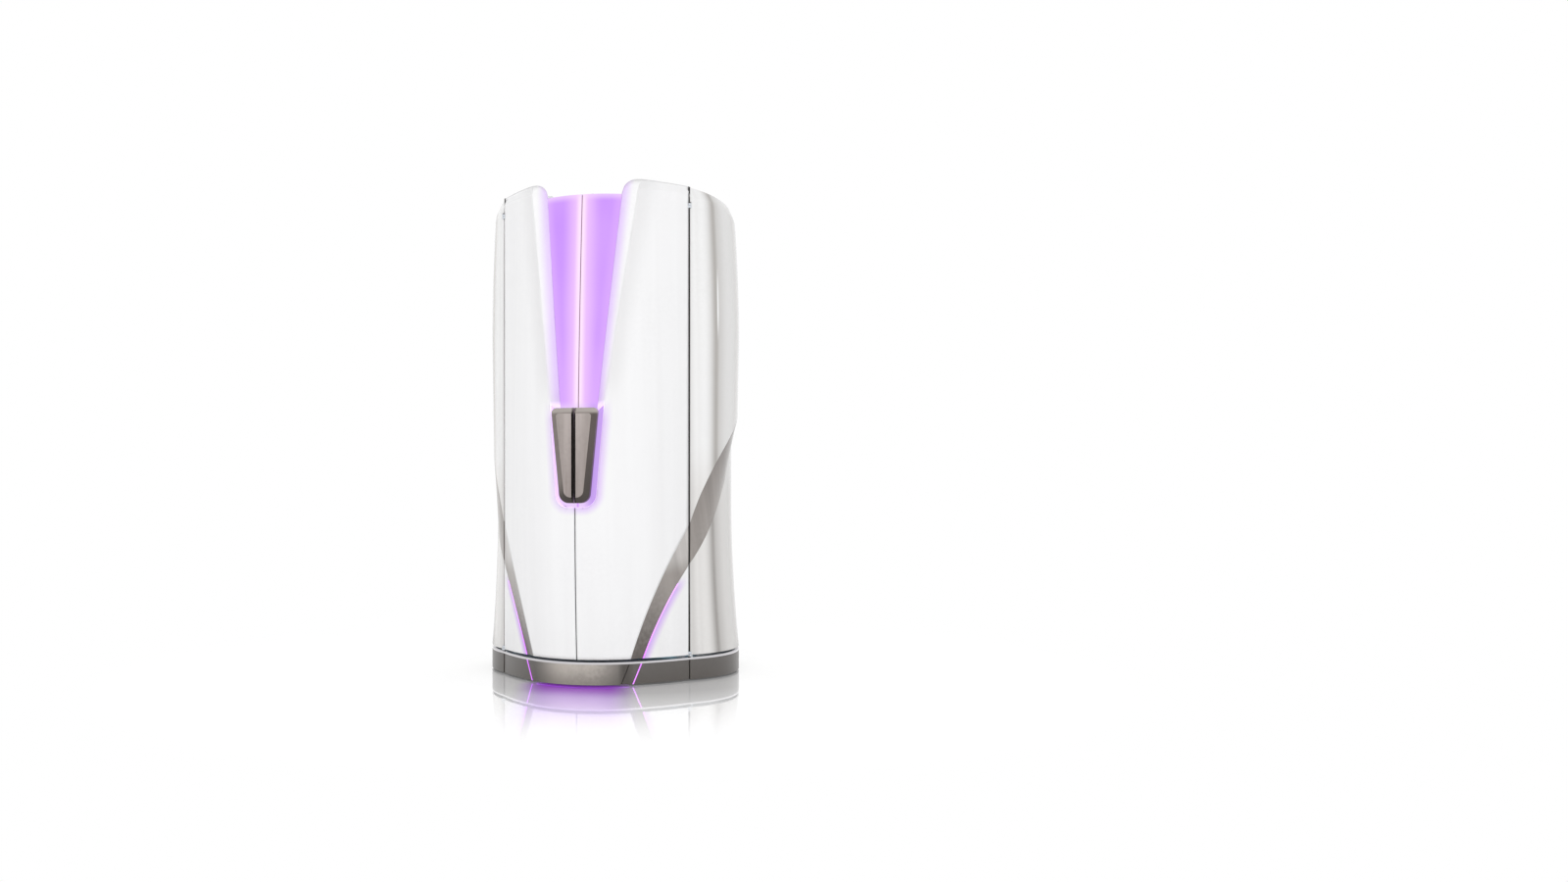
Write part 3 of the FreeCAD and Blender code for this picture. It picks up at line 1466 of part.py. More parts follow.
def build_door_frame():
    """Aluminium door frame, shell ribs and hinge ears, with lamps, reflector and shield inside."""
    body = new_body("FrameBody")
    deep = -s.frame_depth
    cut_off = s.frame_corner_cut
    wide = s.frame_width
    plan = [(ZERO, ZERO), (wide, ZERO), (wide, deep + cut_off), (wide - cut_off, deep), (s.free_stile, deep),
            (s.free_stile, -s.free_fin_depth), (ZERO, -s.free_fin_depth)]
    frame_plan = outline_sketch(body, "FramePlan", "XY_Plane", plan, door_low)
    pad(body, "FramePad", frame_plan, s.frame_top - door_low)
    window = outline_sketch(body, "FrameWindow", "XZ_Plane",
                            rectangle(s.free_stile, window_low, wide - s.hinge_stile, window_high))
    pocket(body, "FrameWindowCut", window, s.frame_depth, True)
    body.Placement = door_axes()

    pitch = window_width / s.door_lamps
    lamp_v = -(s.lamp_setback + s.lamp_radius)
    holder_low = (window_high - window_low - s.lamp_length) / 2
    holders = []
    lamps = []
    for number in range(round(float(s.door_lamps))):
        u = s.free_stile + pitch * (number + 0.5)
        spot = (u, lamp_v, window_low + holder_low)
        lamps.append(prism("DoorLamp%d" % number, spot, s.lamp_radius, s.lamp_length, LAMP_SIDES))
        for label, level in (("Low", window_low), ("High", window_high - holder_low)):
            spot = (u, lamp_v, level)
            name = "Holder%s%d" % (label, number)
            holders.append(prism(name, spot, s.holder_radius, holder_low, TUBE_SIDES))
    lamp_group = group("DoorLamps", lamps)
    lamp_group.Placement = door_axes()
    holder_group = group("DoorHolders", holders)
    holder_group.Placement = door_axes()

    gap = s.seat_gap
    left = s.free_stile + gap
    right = wide - s.hinge_stile - gap
    back = lamp_v - s.lamp_radius - s.lamp_setback
    sheets = []
    for name, face, wall in (("DoorReflector", back, s.reflector_wall),
                             ("DoorShield", -s.shield_wall - s.shield_setback, s.shield_wall)):
        piece = box(name + "Sheet", (left, face, window_low + gap),
                    (right - left, wall, window_high - window_low - gap * 2))
        holder = group(name, [piece])
        holder.Placement = door_axes()
        sheets.append(holder)

    ears = []
    arm_start = door_axes().multVec(Vector(float(wide - s.ear_root), -float(s.ear_root_depth), 0))
    for number, level in enumerate((float(s.low_hinge_height), float(s.top_hinge_height))):
        ears.append(drawn("DoorEar%d" % number, hinge_ear(arm_start, level)))
    ribs = [drawn("DoorRib%d" % number, rib) for number, rib in enumerate(door_ribs())]
    pair_of_nodes("door_frame", fuse("DoorFrame", [body, holder_group] + ears + ribs))
    pair_of_nodes("door_lamps", lamp_group)
    pair_of_nodes("door_reflector", sheets[0])
    pair_of_nodes("door_shield", sheets[1])
    build_vent()


def rib_plate(x_low, x_high, back, level, recess=0):
    """Horizontal rib from the frame's back to just behind the door front."""
    level = float(level)
    shift = Vector(0, 0, float(s.rib_thickness) / 2)
    front = [door_point(x, level + shift.z, back, recess) - shift for x in spaced(x_low, x_high, RIB_CHORDS)]
    back_y = -float(s.face_y) - float(s.frame_depth) + float(s.rib_lap)
    ends = [Vector(x_high, back_y + math.tan(face_turn) * x_high, level),
            Vector(x_low, back_y + math.tan(face_turn) * x_low, level)]
    return flat_face(front + ends).extrude(Vector(0, 0, float(s.rib_thickness)))


def door_ribs():
    """Ribs that carry the shells and the lit panel at four levels."""
    gap = float(s.seat_gap)
    wall = float(s.shell_wall)
    seam = float(s.seam_gap) + wall + gap
    hinge_end = float(s.split_x - s.rib_hinge_gap)
    behind_skin = wall + float(s.rib_clearance)
    behind_panel = float(panel_back) + float(s.rib_clearance)
    ribs = []
    low_level = float(door_low + s.low_rib_rise)
    edge_gap = float(s.rib_edge_gap)
    foot_x = float(s.ramp_foot_x) - edge_gap
    ribs.append(rib_plate(seam, foot_x, behind_skin, low_level))
    ribs.append(rib_plate(foot_x, hinge_end, behind_skin + gap, low_level, s.lower_recess))
    middle = float(s.handle_low - s.handle_margin - s.middle_rib_drop)
    ribs.append(rib_plate(seam, hinge_end, behind_skin, middle))
    for level in (float(s.high_rib_height), float(panel_top - s.top_rib_drop)):
        edge_x = opening_x(level, 1) + edge_gap
        ribs.append(rib_plate(seam, edge_x, behind_panel, level))
        ribs.append(rib_plate(edge_x, hinge_end, behind_skin, level))
    return ribs


VENT_CORNER_CUT = 0.3


def build_vent():
    """Ribbed air outlet on the door's top rail."""
    body = new_body("Vent")
    wide = s.vent_width
    corner = s.vent_corner
    high = s.vent_height
    start = s.frame_width - wide - s.vent_end_gap
    end = start + wide
    top = s.frame_top + high
    nick = corner * VENT_CORNER_CUT
    profile = [(start, s.frame_top), (end, s.frame_top), (end, top - corner), (end - nick, top - nick),
               (end - corner, top), (start + corner, top), (start + nick, top - nick), (start, top - corner)]
    outline = outline_sketch(body, "VentProfile", "XZ_Plane", profile, s.free_stile / 2)
    pad(body, "VentPad", outline, s.vent_depth)
    slot_low = s.frame_top + s.rib_thickness
    first = start + corner
    slot = outline_sketch(body, "VentSlot", "XZ_Plane",
                          rectangle(first, slot_low, first + s.vent_slot_width, top - s.rib_thickness))
    cutter = pocket(body, "VentSlotCut", slot, s.vent_depth / 2, True)
    pattern = body.newObject("PartDesign::LinearPattern", "VentSlots")
    pattern.Originals = [cutter]
    pattern.Direction = (slot, ["H_Axis"])
    bind(pattern, "Length", wide - corner * 2 - s.vent_slot_width)
    bind(pattern, "Occurrences", s.vent_slots)
    body.Tip = pattern
    body.Placement = door_axes()
    pair_of_nodes("door_vent", body)


# ---------------------------------------------------------------- build, check and write

build_base()
build_floor()
build_cabin_lamps()
build_posts()
build_pins()
build_column()
build_roof()
build_rear_cover()
build_side_shells()
build_door_shells()
build_door_frame()
doc.recompute()

for thing in doc.Objects:
    if "Invalid" in thing.State or "Error" in thing.State:
        raise RuntimeError("%s failed to build: %s" % (thing.Name, thing.State))

for name, piece in nodes.items():
    if piece.Shape.isNull() or not piece.Shape.isValid():
        raise RuntimeError(name + " has no valid shape")
    if not piece.Shape.Solids:
        raise RuntimeError(name + " has no solid")

for name, piece in nodes.items():
    piece.Shape.exportStep("parts/" + name + ".step")
    print(name, len(piece.Shape.Solids), round(piece.Shape.Volume / 1e6, 2))
print(len(nodes), "sub-parts")
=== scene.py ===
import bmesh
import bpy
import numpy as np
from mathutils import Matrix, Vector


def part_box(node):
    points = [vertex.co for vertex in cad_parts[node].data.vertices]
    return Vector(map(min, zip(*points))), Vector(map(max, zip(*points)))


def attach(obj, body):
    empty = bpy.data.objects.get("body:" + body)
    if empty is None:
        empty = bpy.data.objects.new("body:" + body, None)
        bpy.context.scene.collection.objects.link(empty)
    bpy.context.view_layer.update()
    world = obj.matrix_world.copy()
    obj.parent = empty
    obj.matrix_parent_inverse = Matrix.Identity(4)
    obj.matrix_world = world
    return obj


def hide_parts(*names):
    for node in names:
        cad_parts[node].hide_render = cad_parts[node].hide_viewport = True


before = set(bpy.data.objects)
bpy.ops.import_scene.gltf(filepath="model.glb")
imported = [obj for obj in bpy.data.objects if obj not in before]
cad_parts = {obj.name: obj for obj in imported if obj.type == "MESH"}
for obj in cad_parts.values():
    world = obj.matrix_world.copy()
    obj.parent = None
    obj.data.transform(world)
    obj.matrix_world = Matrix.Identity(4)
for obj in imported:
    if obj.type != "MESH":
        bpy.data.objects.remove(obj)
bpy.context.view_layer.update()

# %% [markdown]
# # A vertical tanning booth
#
# The booth is a round cabin with two bowed lamp doors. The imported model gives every
# solid and every joint. This script gives the moulded skins their smooth surfaces, puts
# tubes, grilles and lit panels in place, and mixes a finish for each material.
# Everything is in metres, with the floor at height 0 and the doors facing -Y.

# %% [markdown]
# ## Camera
#
# The booth stands a little left of the middle and is seen from fifteen degrees to its
# right, from about waist height. A level camera with a shift keeps the upright lines
# upright, as an architect's camera does.

# %% Camera
AZIMUTH = np.radians(15.0)
DISTANCE = 6.56
EYE_HEIGHT = 0.88

camera_data = bpy.data.cameras.new("camera")
camera_data.sensor_width = 36.0
camera_data.lens = 29.57
camera_data.shift_x = 0.108
camera_data.shift_y = 0.0344
camera = bpy.data.objects.new("camera", camera_data)
camera.location = (DISTANCE * np.sin(AZIMUTH), -DISTANCE * np.cos(AZIMUTH), EYE_HEIGHT)
camera.rotation_euler = (np.radians(90.0), 0.0, AZIMUTH)
bpy.context.scene.collection.objects.link(camera)
bpy.context.scene.camera = camera
bpy.context.scene.view_settings.view_transform = "Standard"

# %% [markdown]
# ## Short ways to write nodes
#
# A material is a little network of nodes. Two small classes let its sums be written as
# sums: a Value is what a node gives out, and adding, multiplying or fading it puts in
# the node that does so. A colour is typed as three screen values from 0 to 255.


# %% Values
def linear(colour):
    """Screen values 0-255 turned into the linear values a shader wants."""
    screen = np.array(colour) / 255.0
    values = np.where(screen <= 0.04045, screen / 12.92, ((screen + 0.055) / 1.055) ** 2.4)
    return (*values.tolist(), 1.0)


class Value:
    """What a node gives out. A sum on it adds the node that works the sum out."""

    def __init__(self, net, socket):
        self.net, self.socket = net, socket

    def work(self, operation, other=0.0):
        return self.net.get("ShaderNodeMath", {0: self, 1: other}, operation=operation)

    def __add__(self, other):
        return self.work("ADD", other)

    def __mul__(self, other):
        return self.work("MULTIPLY", other)

    def __sub__(self, other):
        return self.work("SUBTRACT", other)

    def __rsub__(self, other):
        return self.net.get("ShaderNodeMath", {0: other, 1: self}, operation="SUBTRACT")

    def __abs__(self):
        return self.work("ABSOLUTE")

    __radd__, __rmul__ = __add__, __mul__

    def span(self, low, high, start=0.0, end=1.0, kind="LINEAR"):
        """Carried from low-high to start-end in a straight line, and kept inside it."""
        return self.net.get("ShaderNodeMapRange", {"Value": self, "From Min": low, "From Max": high,
                                                   "To Min": start, "To Max": end}, interpolation_type=kind)

    def fade(self, low, high, start=0.0, end=1.0):
        """The same, with a smooth start and end."""
        return self.span(low, high, start, end, "SMOOTHSTEP")

# %% [markdown]
# A Net stands for one node tree. It adds nodes, types in or links their inputs, and has
# short names for what nearly every finish needs: coordinates, noise, blends and bumps.


# %% Nets
class Net:
    """Node tree with short ways to add to it."""

    def __init__(self, tree):
        self.tree = tree
        tree.nodes.clear()

    def add(self, kind, inputs=None, **settings):
        """New node with its settings and its inputs: a Value is linked, the rest is typed in."""
        node = self.tree.nodes.new(kind)
        for name, value in settings.items():
            setattr(node, name, value)
        for name, value in (inputs or {}).items():
            if isinstance(value, Value):
                self.tree.links.new(value.socket, node.inputs[name])
            else:
                node.inputs[name].default_value = linear(value) if isinstance(value, tuple) else value
        return node

    def get(self, kind, inputs=None, out=0, **settings):
        """One output of a new node."""
        return Value(self, self.add(kind, inputs, **settings).outputs[out])

    def mix(self, share, first, second):
        """Blend of two colours by a mask."""
        return self.get("ShaderNodeMix", {0: share, 6: first, 7: second}, 2, data_type="RGBA")

    def place(self):
        """Point of the surface in the piece's own coordinates."""
        return self.get("ShaderNodeTexCoord", out="Object")

    def axes(self):
        """The same point as x, y and z."""
        return [Value(self, part) for part in self.add("ShaderNodeSeparateXYZ", {0: self.place()}).outputs]

    def noise(self, place, scale, detail, roughness=0.5):
        return self.get("ShaderNodeTexNoise", {"Vector": place, "Scale": scale, "Detail": detail,
                                               "Roughness": roughness}, "Fac")

    def bump(self, height, strength, distance=0.0005):
        return self.get("ShaderNodeBump", {"Height": height, "Strength": strength, "Distance": distance})

    def effect(self, name, **values):
        """A shared effect with its own values."""
        return self.get("ShaderNodeGroup", values, node_tree=bpy.data.node_groups[name])


BLACK, WHITE = (0, 0, 0), (255, 255, 255)

# %% [markdown]
# ## Floor and light
#
# The floor is white and polished, so it mirrors the booth faintly. The mirror image comes
# from the shader, not from a second copy. The violet light from under the base is painted
# on the floor in front of it: a mask of plan distances gives the painted glow, which leans a
# little to the right. Further out the floor turns into the white of the background.

# %% Floor
HALF_FLOOR = 40.0
BASE_FRONT, SPILL_HALF, SPILL_LEAN = 0.665, 0.19, 0.268
floor_mesh = bpy.data.meshes.new("studio_floor")
floor_mesh.from_pydata([(x * HALF_FLOOR, y * HALF_FLOOR, 0) for x, y in ((-1, -1), (1, -1), (1, 1), (-1, 1))], [],
                       [(0, 1, 2, 3)])
studio_floor = bpy.data.objects.new("studio_floor", floor_mesh)
bpy.context.scene.collection.objects.link(studio_floor)

floor_finish = bpy.data.materials.new("studio_floor")
floor_finish.use_nodes = True
floor_mesh.materials.append(floor_finish)
net = Net(floor_finish.node_tree)
x, y, _ = net.axes()
reach = (x * x + y * y).work("SQRT")
seen = net.get("ShaderNodeLightPath", out="Is Camera Ray")
mirrored_ray = net.get("ShaderNodeLightPath", out="Is Glossy Ray")
# Painted glow of the under-base light on the floor: a tint by plan distance in front of the base, leaning to the
# right.
ahead = -BASE_FRONT - y
aside = abs(x - ahead.work("MAXIMUM") * SPILL_LEAN) - SPILL_HALF
painted_spill_beam = aside.fade(-0.05, 0.12, 1.0, 0.0) * ahead.fade(-0.10, -0.06) * seen
far_painted_glow = painted_spill_beam * ahead.fade(0.15, 1.30, 0.66, 0.0)
near_painted_glow = painted_spill_beam * ahead.fade(0.01, 0.34, 0.90, 0.0)
tint = net.mix(near_painted_glow, net.mix(far_painted_glow, WHITE, (202, 148, 252)), (178, 88, 226))
matt = net.get("ShaderNodeBsdfDiffuse", {"Color": net.mix(0.1, tint, BLACK)})
lift = net.get("ShaderNodeEmission", {"Color": tint, "Strength": seen * (far_painted_glow * 0.45 + 0.30)})
body = net.get("ShaderNodeAddShader", {0: matt, 1: lift})
gloss = net.get("ShaderNodeBsdfAnisotropic", {"Color": tint, "Roughness": 0.025})
polished = net.get("ShaderNodeMixShader", {0: reach.span(0.85, 2.25, 0.64, 0.0), 1: body, 2: gloss})
background = net.get("ShaderNodeEmission", {"Color": net.mix(far_painted_glow, WHITE, (216, 186, 252)), "Strength": 1.0})
distant = seen.work("MAXIMUM", mirrored_ray) * reach.fade(1.3, 2.6)
whole = net.get("ShaderNodeMixShader", {0: distant, 1: polished, 2: background})
net.add("ShaderNodeOutputMaterial", {"Surface": whole})

# %% Background
WORLD_LIGHT = 0.62
world = bpy.data.worlds.new("studio")
bpy.context.scene.world = world
world.use_nodes = True
net = Net(world.node_tree)
plain = net.get("ShaderNodeLightPath", out="Is Camera Ray")
for ray in ("Is Glossy Ray", "Is Transmission Ray"):
    plain = plain.work("MAXIMUM", net.get("ShaderNodeLightPath", out=ray))
sky = net.get("ShaderNodeBackground", {"Color": WHITE, "Strength": plain.span(0.0, 1.0, WORLD_LIGHT, 1.0)})
net.add("ShaderNodeOutputWorld", {"Surface": sky})


# %% Soft lamps
def soft_light(name, place, target, width, power):
    """Large square lamp that looks at a point."""
    data = bpy.data.lights.new(name, "AREA")
    data.shape = "SQUARE"
    data.size = width
    data.energy = power
    lamp = bpy.data.objects.new(name, data)
    lamp.location = place
    sight = np.array(target, float) - np.array(place, float)
    flat = np.hypot(sight[0], sight[1])
    lamp.rotation_euler = (np.arctan2(flat, -sight[2]), 0.0, np.arctan2(-sight[0], sight[1]))
    lamp.visible_glossy = False
    bpy.context.scene.collection.objects.link(lamp)


soft_light("key_light", (1.4, -7.0, 3.6), (0, 0, 1.3), 3.5, 168)
soft_light("left_light", (-5.5, -3.0, 2.6), (0, 0, 1.2), 3.0, 30)
soft_light("right_light", (5.8, -1.5, 2.4), (0, 0, 1.2), 3.0, 14)
soft_light("back_light", (1.5, 6.0, 4.0), (0, 0, 1.2), 3.5, 90)

# %% [markdown]
# ## Effects that several finishes share
#
# Moulded acrylic, painted metal and extruded aluminium differ in colour and gloss, but
# all of them vary a little over the surface. Three node groups hold those effects: soft
# upright bands of painted reflection, where the gloss on a curved wall is painted into
# the colour, a fine grain, and light handling marks. Each gives out only a mask; the
# material decides what the mask does.


# %% Node groups
def new_group(name, **inputs):
    """Node group with number inputs and one mask output; gives its net and its inputs."""
    tree = bpy.data.node_groups.new(name, "ShaderNodeTree")
    for label, value in inputs.items():
        socket = tree.interface.new_socket(name=label, in_out="INPUT", socket_type="NodeSocketFloat")
        socket.default_value = value
    tree.interface.new_socket(name="Mask", in_out="OUTPUT", socket_type="NodeSocketFloat")
    net = Net(tree)
    given = net.add("NodeGroupInput").outputs
    return net, [Value(net, given[label]) for label in inputs]


def build_painted_reflection_bands():
    """Painted reflection bands that run up a wall: noise over the plan direction, nearly constant in height."""
    net, (scale, lean, softness) = new_group("painted_reflection_bands", Scale=5.0, Lean=0.12, Softness=0.3)
    x, y, z = net.axes()
    spot = net.get("ShaderNodeCombineXYZ", {0: y.work("ARCTAN2", x) + z * lean, 1: z * 0.05})
    mask = net.noise(spot, scale, 3.0, 0.55).fade(0.5 - softness, 0.5 + softness)
    net.add("NodeGroupOutput", {0: mask})


def build_grain():
    """Fine even grain for a bump, stretched upwards where that is asked for."""
    net, (scale, stretch) = new_group("fine_grain", Scale=400.0, Stretch=1.0)
    x, y, z = net.axes()
    spot = net.get("ShaderNodeCombineXYZ", {0: x, 1: y, 2: z.work("DIVIDE", stretch)})
    net.add("NodeGroupOutput", {0: net.noise(spot, scale, 2.0)})


def build_marks():
    """Handling marks and dust: large patches broken up by small ones."""
    net, (scale, amount) = new_group("handling_marks", Scale=3.0, Amount=0.5)
    patches = net.noise(net.place(), scale, 4.0).span(0.4, 0.75)
    specks = net.noise(net.place(), 60.0, 2.0).span(0.35, 0.7)
    net.add("NodeGroupOutput", {0: patches * specks * amount})


for build in (build_painted_reflection_bands, build_grain, build_marks):
    build()
print("shared effects:", [group.name for group in bpy.data.node_groups])

# %% [markdown]
# ## Plain finishes
#
# Most small pieces have one of these opaque finishes. Each has a main colour, a second
# colour that the marks bring in, its own gloss and grain, and for some a metal share or
# a clear coat.


# %% Plain finishes
FINISHES = {}


def new_material(name, inputs_of, *values, grain=(900.0, 0.12), stretch=1.0):
    """Principled material: inputs_of gives the shader's inputs, and grain its fine relief."""
    FINISHES[name] = material = bpy.data.materials.new(name)
    material.use_nodes = True
    net = Net(material.node_tree)
    inputs = inputs_of(net, *values)
    if grain:
        inputs["Normal"] = net.bump(net.effect("fine_grain", Scale=grain[0], Stretch=stretch), grain[1])
    net.add("ShaderNodeOutputMaterial", {"Surface": net.get("ShaderNodeBsdfPrincipled", inputs)})


def plain_inputs(net, main, second, roughness, marks, metal=0.0, coat=0.0):
    """Main colour with marks of the second one; the marks are also a little rougher."""
    mark = net.effect("handling_marks", Amount=marks)
    return {"Base Color": net.mix(mark, main, second), "Roughness": mark.span(0.0, 1.0, roughness, roughness + 0.18),
            "Metallic": metal, "Coat Weight": coat, "Coat Roughness": 0.05}


PLAIN_FINISHES = {
    # name: grain, main colour, second colour, roughness, marks, then metal and coat
    "seal_mauve": ((1500.0, 0.3), (150, 112, 132), (120, 88, 104), 0.6, 0.6),
    "seal_dark": ((1500.0, 0.3), (46, 43, 43), (70, 66, 65), 0.6, 0.6),
    "holder_white": ((700.0, 0.15), (238, 240, 242), (210, 214, 218), 0.42, 0.4),
    "rubber_black": ((1500.0, 0.35), (30, 30, 32), (62, 60, 58), 0.7, 0.8),
    "chassis_paint": ((900.0, 0.3), (58, 56, 56), (84, 80, 78), 0.55, 0.7),
    "dock_black": ((900.0, 0.05), (18, 18, 21), (48, 48, 52), 0.16, 0.4, 0.0, 0.8),
    "vent_black": ((1200.0, 0.2), (36, 37, 40), (66, 67, 70), 0.38, 0.5),
    "fan_dark": ((800.0, 0.15), (34, 42, 48), (66, 80, 88), 0.35, 0.5),
    "ring_teal": ((600.0, 0.08), (22, 74, 92), (60, 128, 146), 0.18, 0.4, 0.0, 0.6),
    "column_grey": ((800.0, 0.12), (178, 182, 190), (138, 142, 152), 0.3, 0.3, 0.6),
    "key_grey": ((900.0, 0.1), (206, 208, 214), (150, 152, 160), 0.3, 0.6, 0.5),
    "roof_grey": ((700.0, 0.15), (206, 209, 213), (168, 172, 178), 0.4, 0.4),
    "steel": ((900.0, 0.1), (186, 188, 192), (132, 134, 138), 0.26, 0.6, 1.0),
    "strip_lilac": ((900.0, 0.1), (176, 160, 190), (140, 124, 158), 0.3, 0.5, 0.0, 0.4),
    "platform_dark": ((800.0, 0.2), (124, 140, 152), (150, 166, 176), 0.4, 0.7),
}
for name, (grain, *values) in PLAIN_FINISHES.items():
    new_material(name, plain_inputs, *values, grain=grain)
print(len(PLAIN_FINISHES), "plain finishes")

# %% [markdown]
# ## White skins with painted shade, light and reflections
#
# The moulded skins are coated acrylic. Their white is not even, and all of that is painted
# light: a painted shade greys it beside the opening, and a painted glow turns it lavender
# where the lit panel, the handle well and the ramp's strip would spill on it. The masks
# follow the outlines of those shapes. The sides are white with soft upright bands of
# painted reflection in warm grey, which stand still when the camera moves, as paint does.


# %% Door skin
def opening_edge(z, bevel):
    """Half width of the lit opening at a height, at the panel (0) or at the skin (1)."""
    slope = (0.099 + 0.043 * bevel) / 1.070
    return z * slope + (0.088 + 0.037 * bevel - 1.280 * slope)


def well_distance(away, z):
    """Distance outside the well round the handle: a tapered bar with round lower corners."""
    beside = (away - (z * 0.0759 + (0.0375 - 0.0759 * 0.823))).work("MAXIMUM")
    below = (0.8785 - z).work("MAXIMUM")
    return (beside * beside + below * below).work("SQRT") - 0.0555


def painted_glow_mask(x, away, z):
    """Painted glow where the lit panel, the well and the ramp's strip would spill light on the white skin beside them;
    round the well it is painted weaker on the left than on the right.
    """
    panel = (away - opening_edge(z, 0.0)).fade(0.0, 0.060, 0.62, 0.0) * z.fade(1.24, 1.34)
    well = well_distance(away, z).fade(0.0, 0.046, 0.62, 0.0) * z.fade(1.20, 1.34, 1.0, 0.0)
    # Painted glow of the well is weaker on the left side than on the right.
    well = well * x.fade(-0.03, 0.03, 0.62, 1.0)
    past = away - (z * (z * 0.2408 + 0.2614) + 0.2450)
    strip = past.fade(0.004, 0.042, 0.85, 0.0) * past.span(-0.004, 0.0) * z.fade(0.43, 0.50, 1.0, 0.0)
    return panel.work("MAXIMUM", well.work("MAXIMUM", strip))


def skin_inputs(net):
    """White with painted light: painted shade of soft grey beside the opening, faint bands of
    painted reflection, a painted lavender glow where light spills, and a wall of the well
    that a painted glow brightens, standing in for the lit panel's light."""
    x, _, z = net.axes()
    away = abs(x)
    mark = net.effect("handling_marks", Amount=0.15)
    band = net.effect("painted_reflection_bands", Scale=5.0, Lean=0.02, Softness=0.25)
    inner = away - opening_edge(z, 1.0)
    # Painted shade: grey beside the opening's bevel.
    painted_crease_shade = inner.fade(0.0, 0.10, 0.42, 0.0) * inner.span(-0.004, 0.004) * z.fade(1.25, 1.45)
    # Painted reflection: faint grey bands.
    colour = net.mix(band * 0.35, (251, 251, 252), (233, 232, 233))
    colour = net.mix(painted_crease_shade, colour, (214, 213, 214))
    colour = net.mix(mark, colour, (226, 225, 227))
    # Painted glow: emission on the well's wall stands in for the lit panel's light.
    painted_well_glow = well_distance(away, z).span(0.0005, 0.0025, 0.6, 0.0) * z.span(1.290, 1.315, 1.0, 0.0)
    return {"Base Color": net.mix(painted_glow_mask(x, away, z), colour, (214, 168, 250)),
            "Roughness": mark.span(0.0, 1.0, 0.22, 0.4), "Coat Weight": 0.6, "Coat Roughness": 0.05,
            "Emission Color": (228, 196, 250), "Emission Strength": painted_well_glow}


new_material("shell_white", skin_inputs, grain=(160.0, 0.04))

# %% Sides with painted reflections
REFLECTION_STOPS = [(0.0, 0.30), (0.020, 0.24), (0.05, 0.0), (0.075, 0.12), (0.11, 0.0), (0.16, 0.0), (0.21, 0.35),
               (0.255, 0.95), (0.275, 0.95), (0.31, 0.58), (0.45, 0.12), (0.60, 0.34), (0.70, 0.62), (1.0, 0.30)]


def side_reflection_inputs(net):
    """White behind the split, then soft upright bands of painted reflection in warm grey, each a
    stop of a ramp, darker on the lower wall, with a painted highlight streak up high.
    """
    _, y, z = net.axes()
    # Painted reflections: each stop of the ramp is a grey or white band.
    ramp = net.add("ShaderNodeValToRGB", {"Fac": (y + (z - 1.4) * 0.012).span(-0.365, 0.135)})
    ramp.color_ramp.interpolation = "B_SPLINE"
    elements = ramp.color_ramp.elements
    while len(elements) < len(REFLECTION_STOPS):
        elements.new(1.0)
    for element, (stop, level) in zip(elements, REFLECTION_STOPS):
        element.position = stop
        element.color = (level, level, level, 1.0)
    soft = net.effect("painted_reflection_bands", Scale=6.0, Lean=0.05, Softness=0.2)
    bands = net.mix(y.fade(0.05, 0.20), Value(net, ramp.outputs["Color"]), soft * 0.6)
    # The painted reflections are darker on the lower wall.
    lower = z.fade(1.15, 0.85)
    light = net.mix(lower, (250, 250, 250), (238, 236, 234))
    dark = net.mix(lower, (172, 167, 162), (150, 145, 141))
    # Painted highlight: a short white streak high on the side.
    painted_streak = abs(y + 0.222).fade(0.002, 0.008, 1.0, 0.0) * abs(z - 1.80).fade(0.04, 0.20, 1.0, 0.0)
    colour = net.mix(painted_streak, net.mix(bands, light, dark), (252, 252, 252))
    mark = net.effect("handling_marks", Amount=0.15)
    return {"Base Color": net.mix(mark, colour, (200, 197, 194)), "Roughness": mark.span(0.0, 1.0, 0.22, 0.4),
            "Coat Weight": 0.6, "Coat Roughness": 0.05}


new_material("side_white_reflections", side_reflection_inputs, grain=(160.0, 0.04))

# %% [markdown]
# ## Taupe trims
#
# Base, ramps and handle are painted in one family of satin taupe with a little metal in
# it. Each piece has its own shading painted into its colour, because light falls off over
# a curved bar or band: painted highlights, painted shade and painted reflection bands. The
# masks are distances from the middle line and heights.


# %% Base and deck
def base_inputs(net):
    """Painted light: a painted sheen palest in the middle of the front, painted shade at its
    ends and at the foot, and a painted shadow wedge on the right-hand side.
    """
    x, y, z = net.axes()
    away = abs(x)
    # Painted sheen in the middle of the front.
    middle = away.fade(0.05, 0.24, 1.0, 0.0) * y.span(-0.62, -0.55, 1.0, 0.0)
    colour = net.mix(middle, (98, 94, 91), (190, 182, 175))
    # Painted shade at the foot.
    colour = net.mix(z.fade(0.008, 0.10, 0.55, 0.0), colour, (86, 81, 76))
    # Painted shadow wedge, on the right-hand side only.
    painted_shadow_wedge = away.span(0.262, 0.285, 1.0, 0.0) * y.span(-0.60, -0.58, 1.0, 0.0) * x.span(0.184, 0.206, 0.0, 0.95)
    colour = net.mix(painted_shadow_wedge, colour, (78, 73, 69))
    mark = net.effect("handling_marks", Amount=0.35)
    return {"Base Color": net.mix(mark, colour, (88, 82, 78)), "Roughness": mark.span(0.0, 1.0, 0.34, 0.5),
            "Metallic": 0.25, "Coat Weight": 0.2}


def deck_inputs(net):
    """Paint of the steel base: pale on its upper deck, dark grey on everything below."""
    _, _, z = net.axes()
    colour = net.mix(z.span(0.094, 0.100), (58, 56, 56), (214, 217, 221))
    mark = net.effect("handling_marks", Amount=0.5)
    return {"Base Color": net.mix(mark, colour, (96, 96, 98)), "Roughness": 0.45}


new_material("base_taupe", base_inputs)
new_material("deck_paint", deck_inputs, grain=(900.0, 0.2))


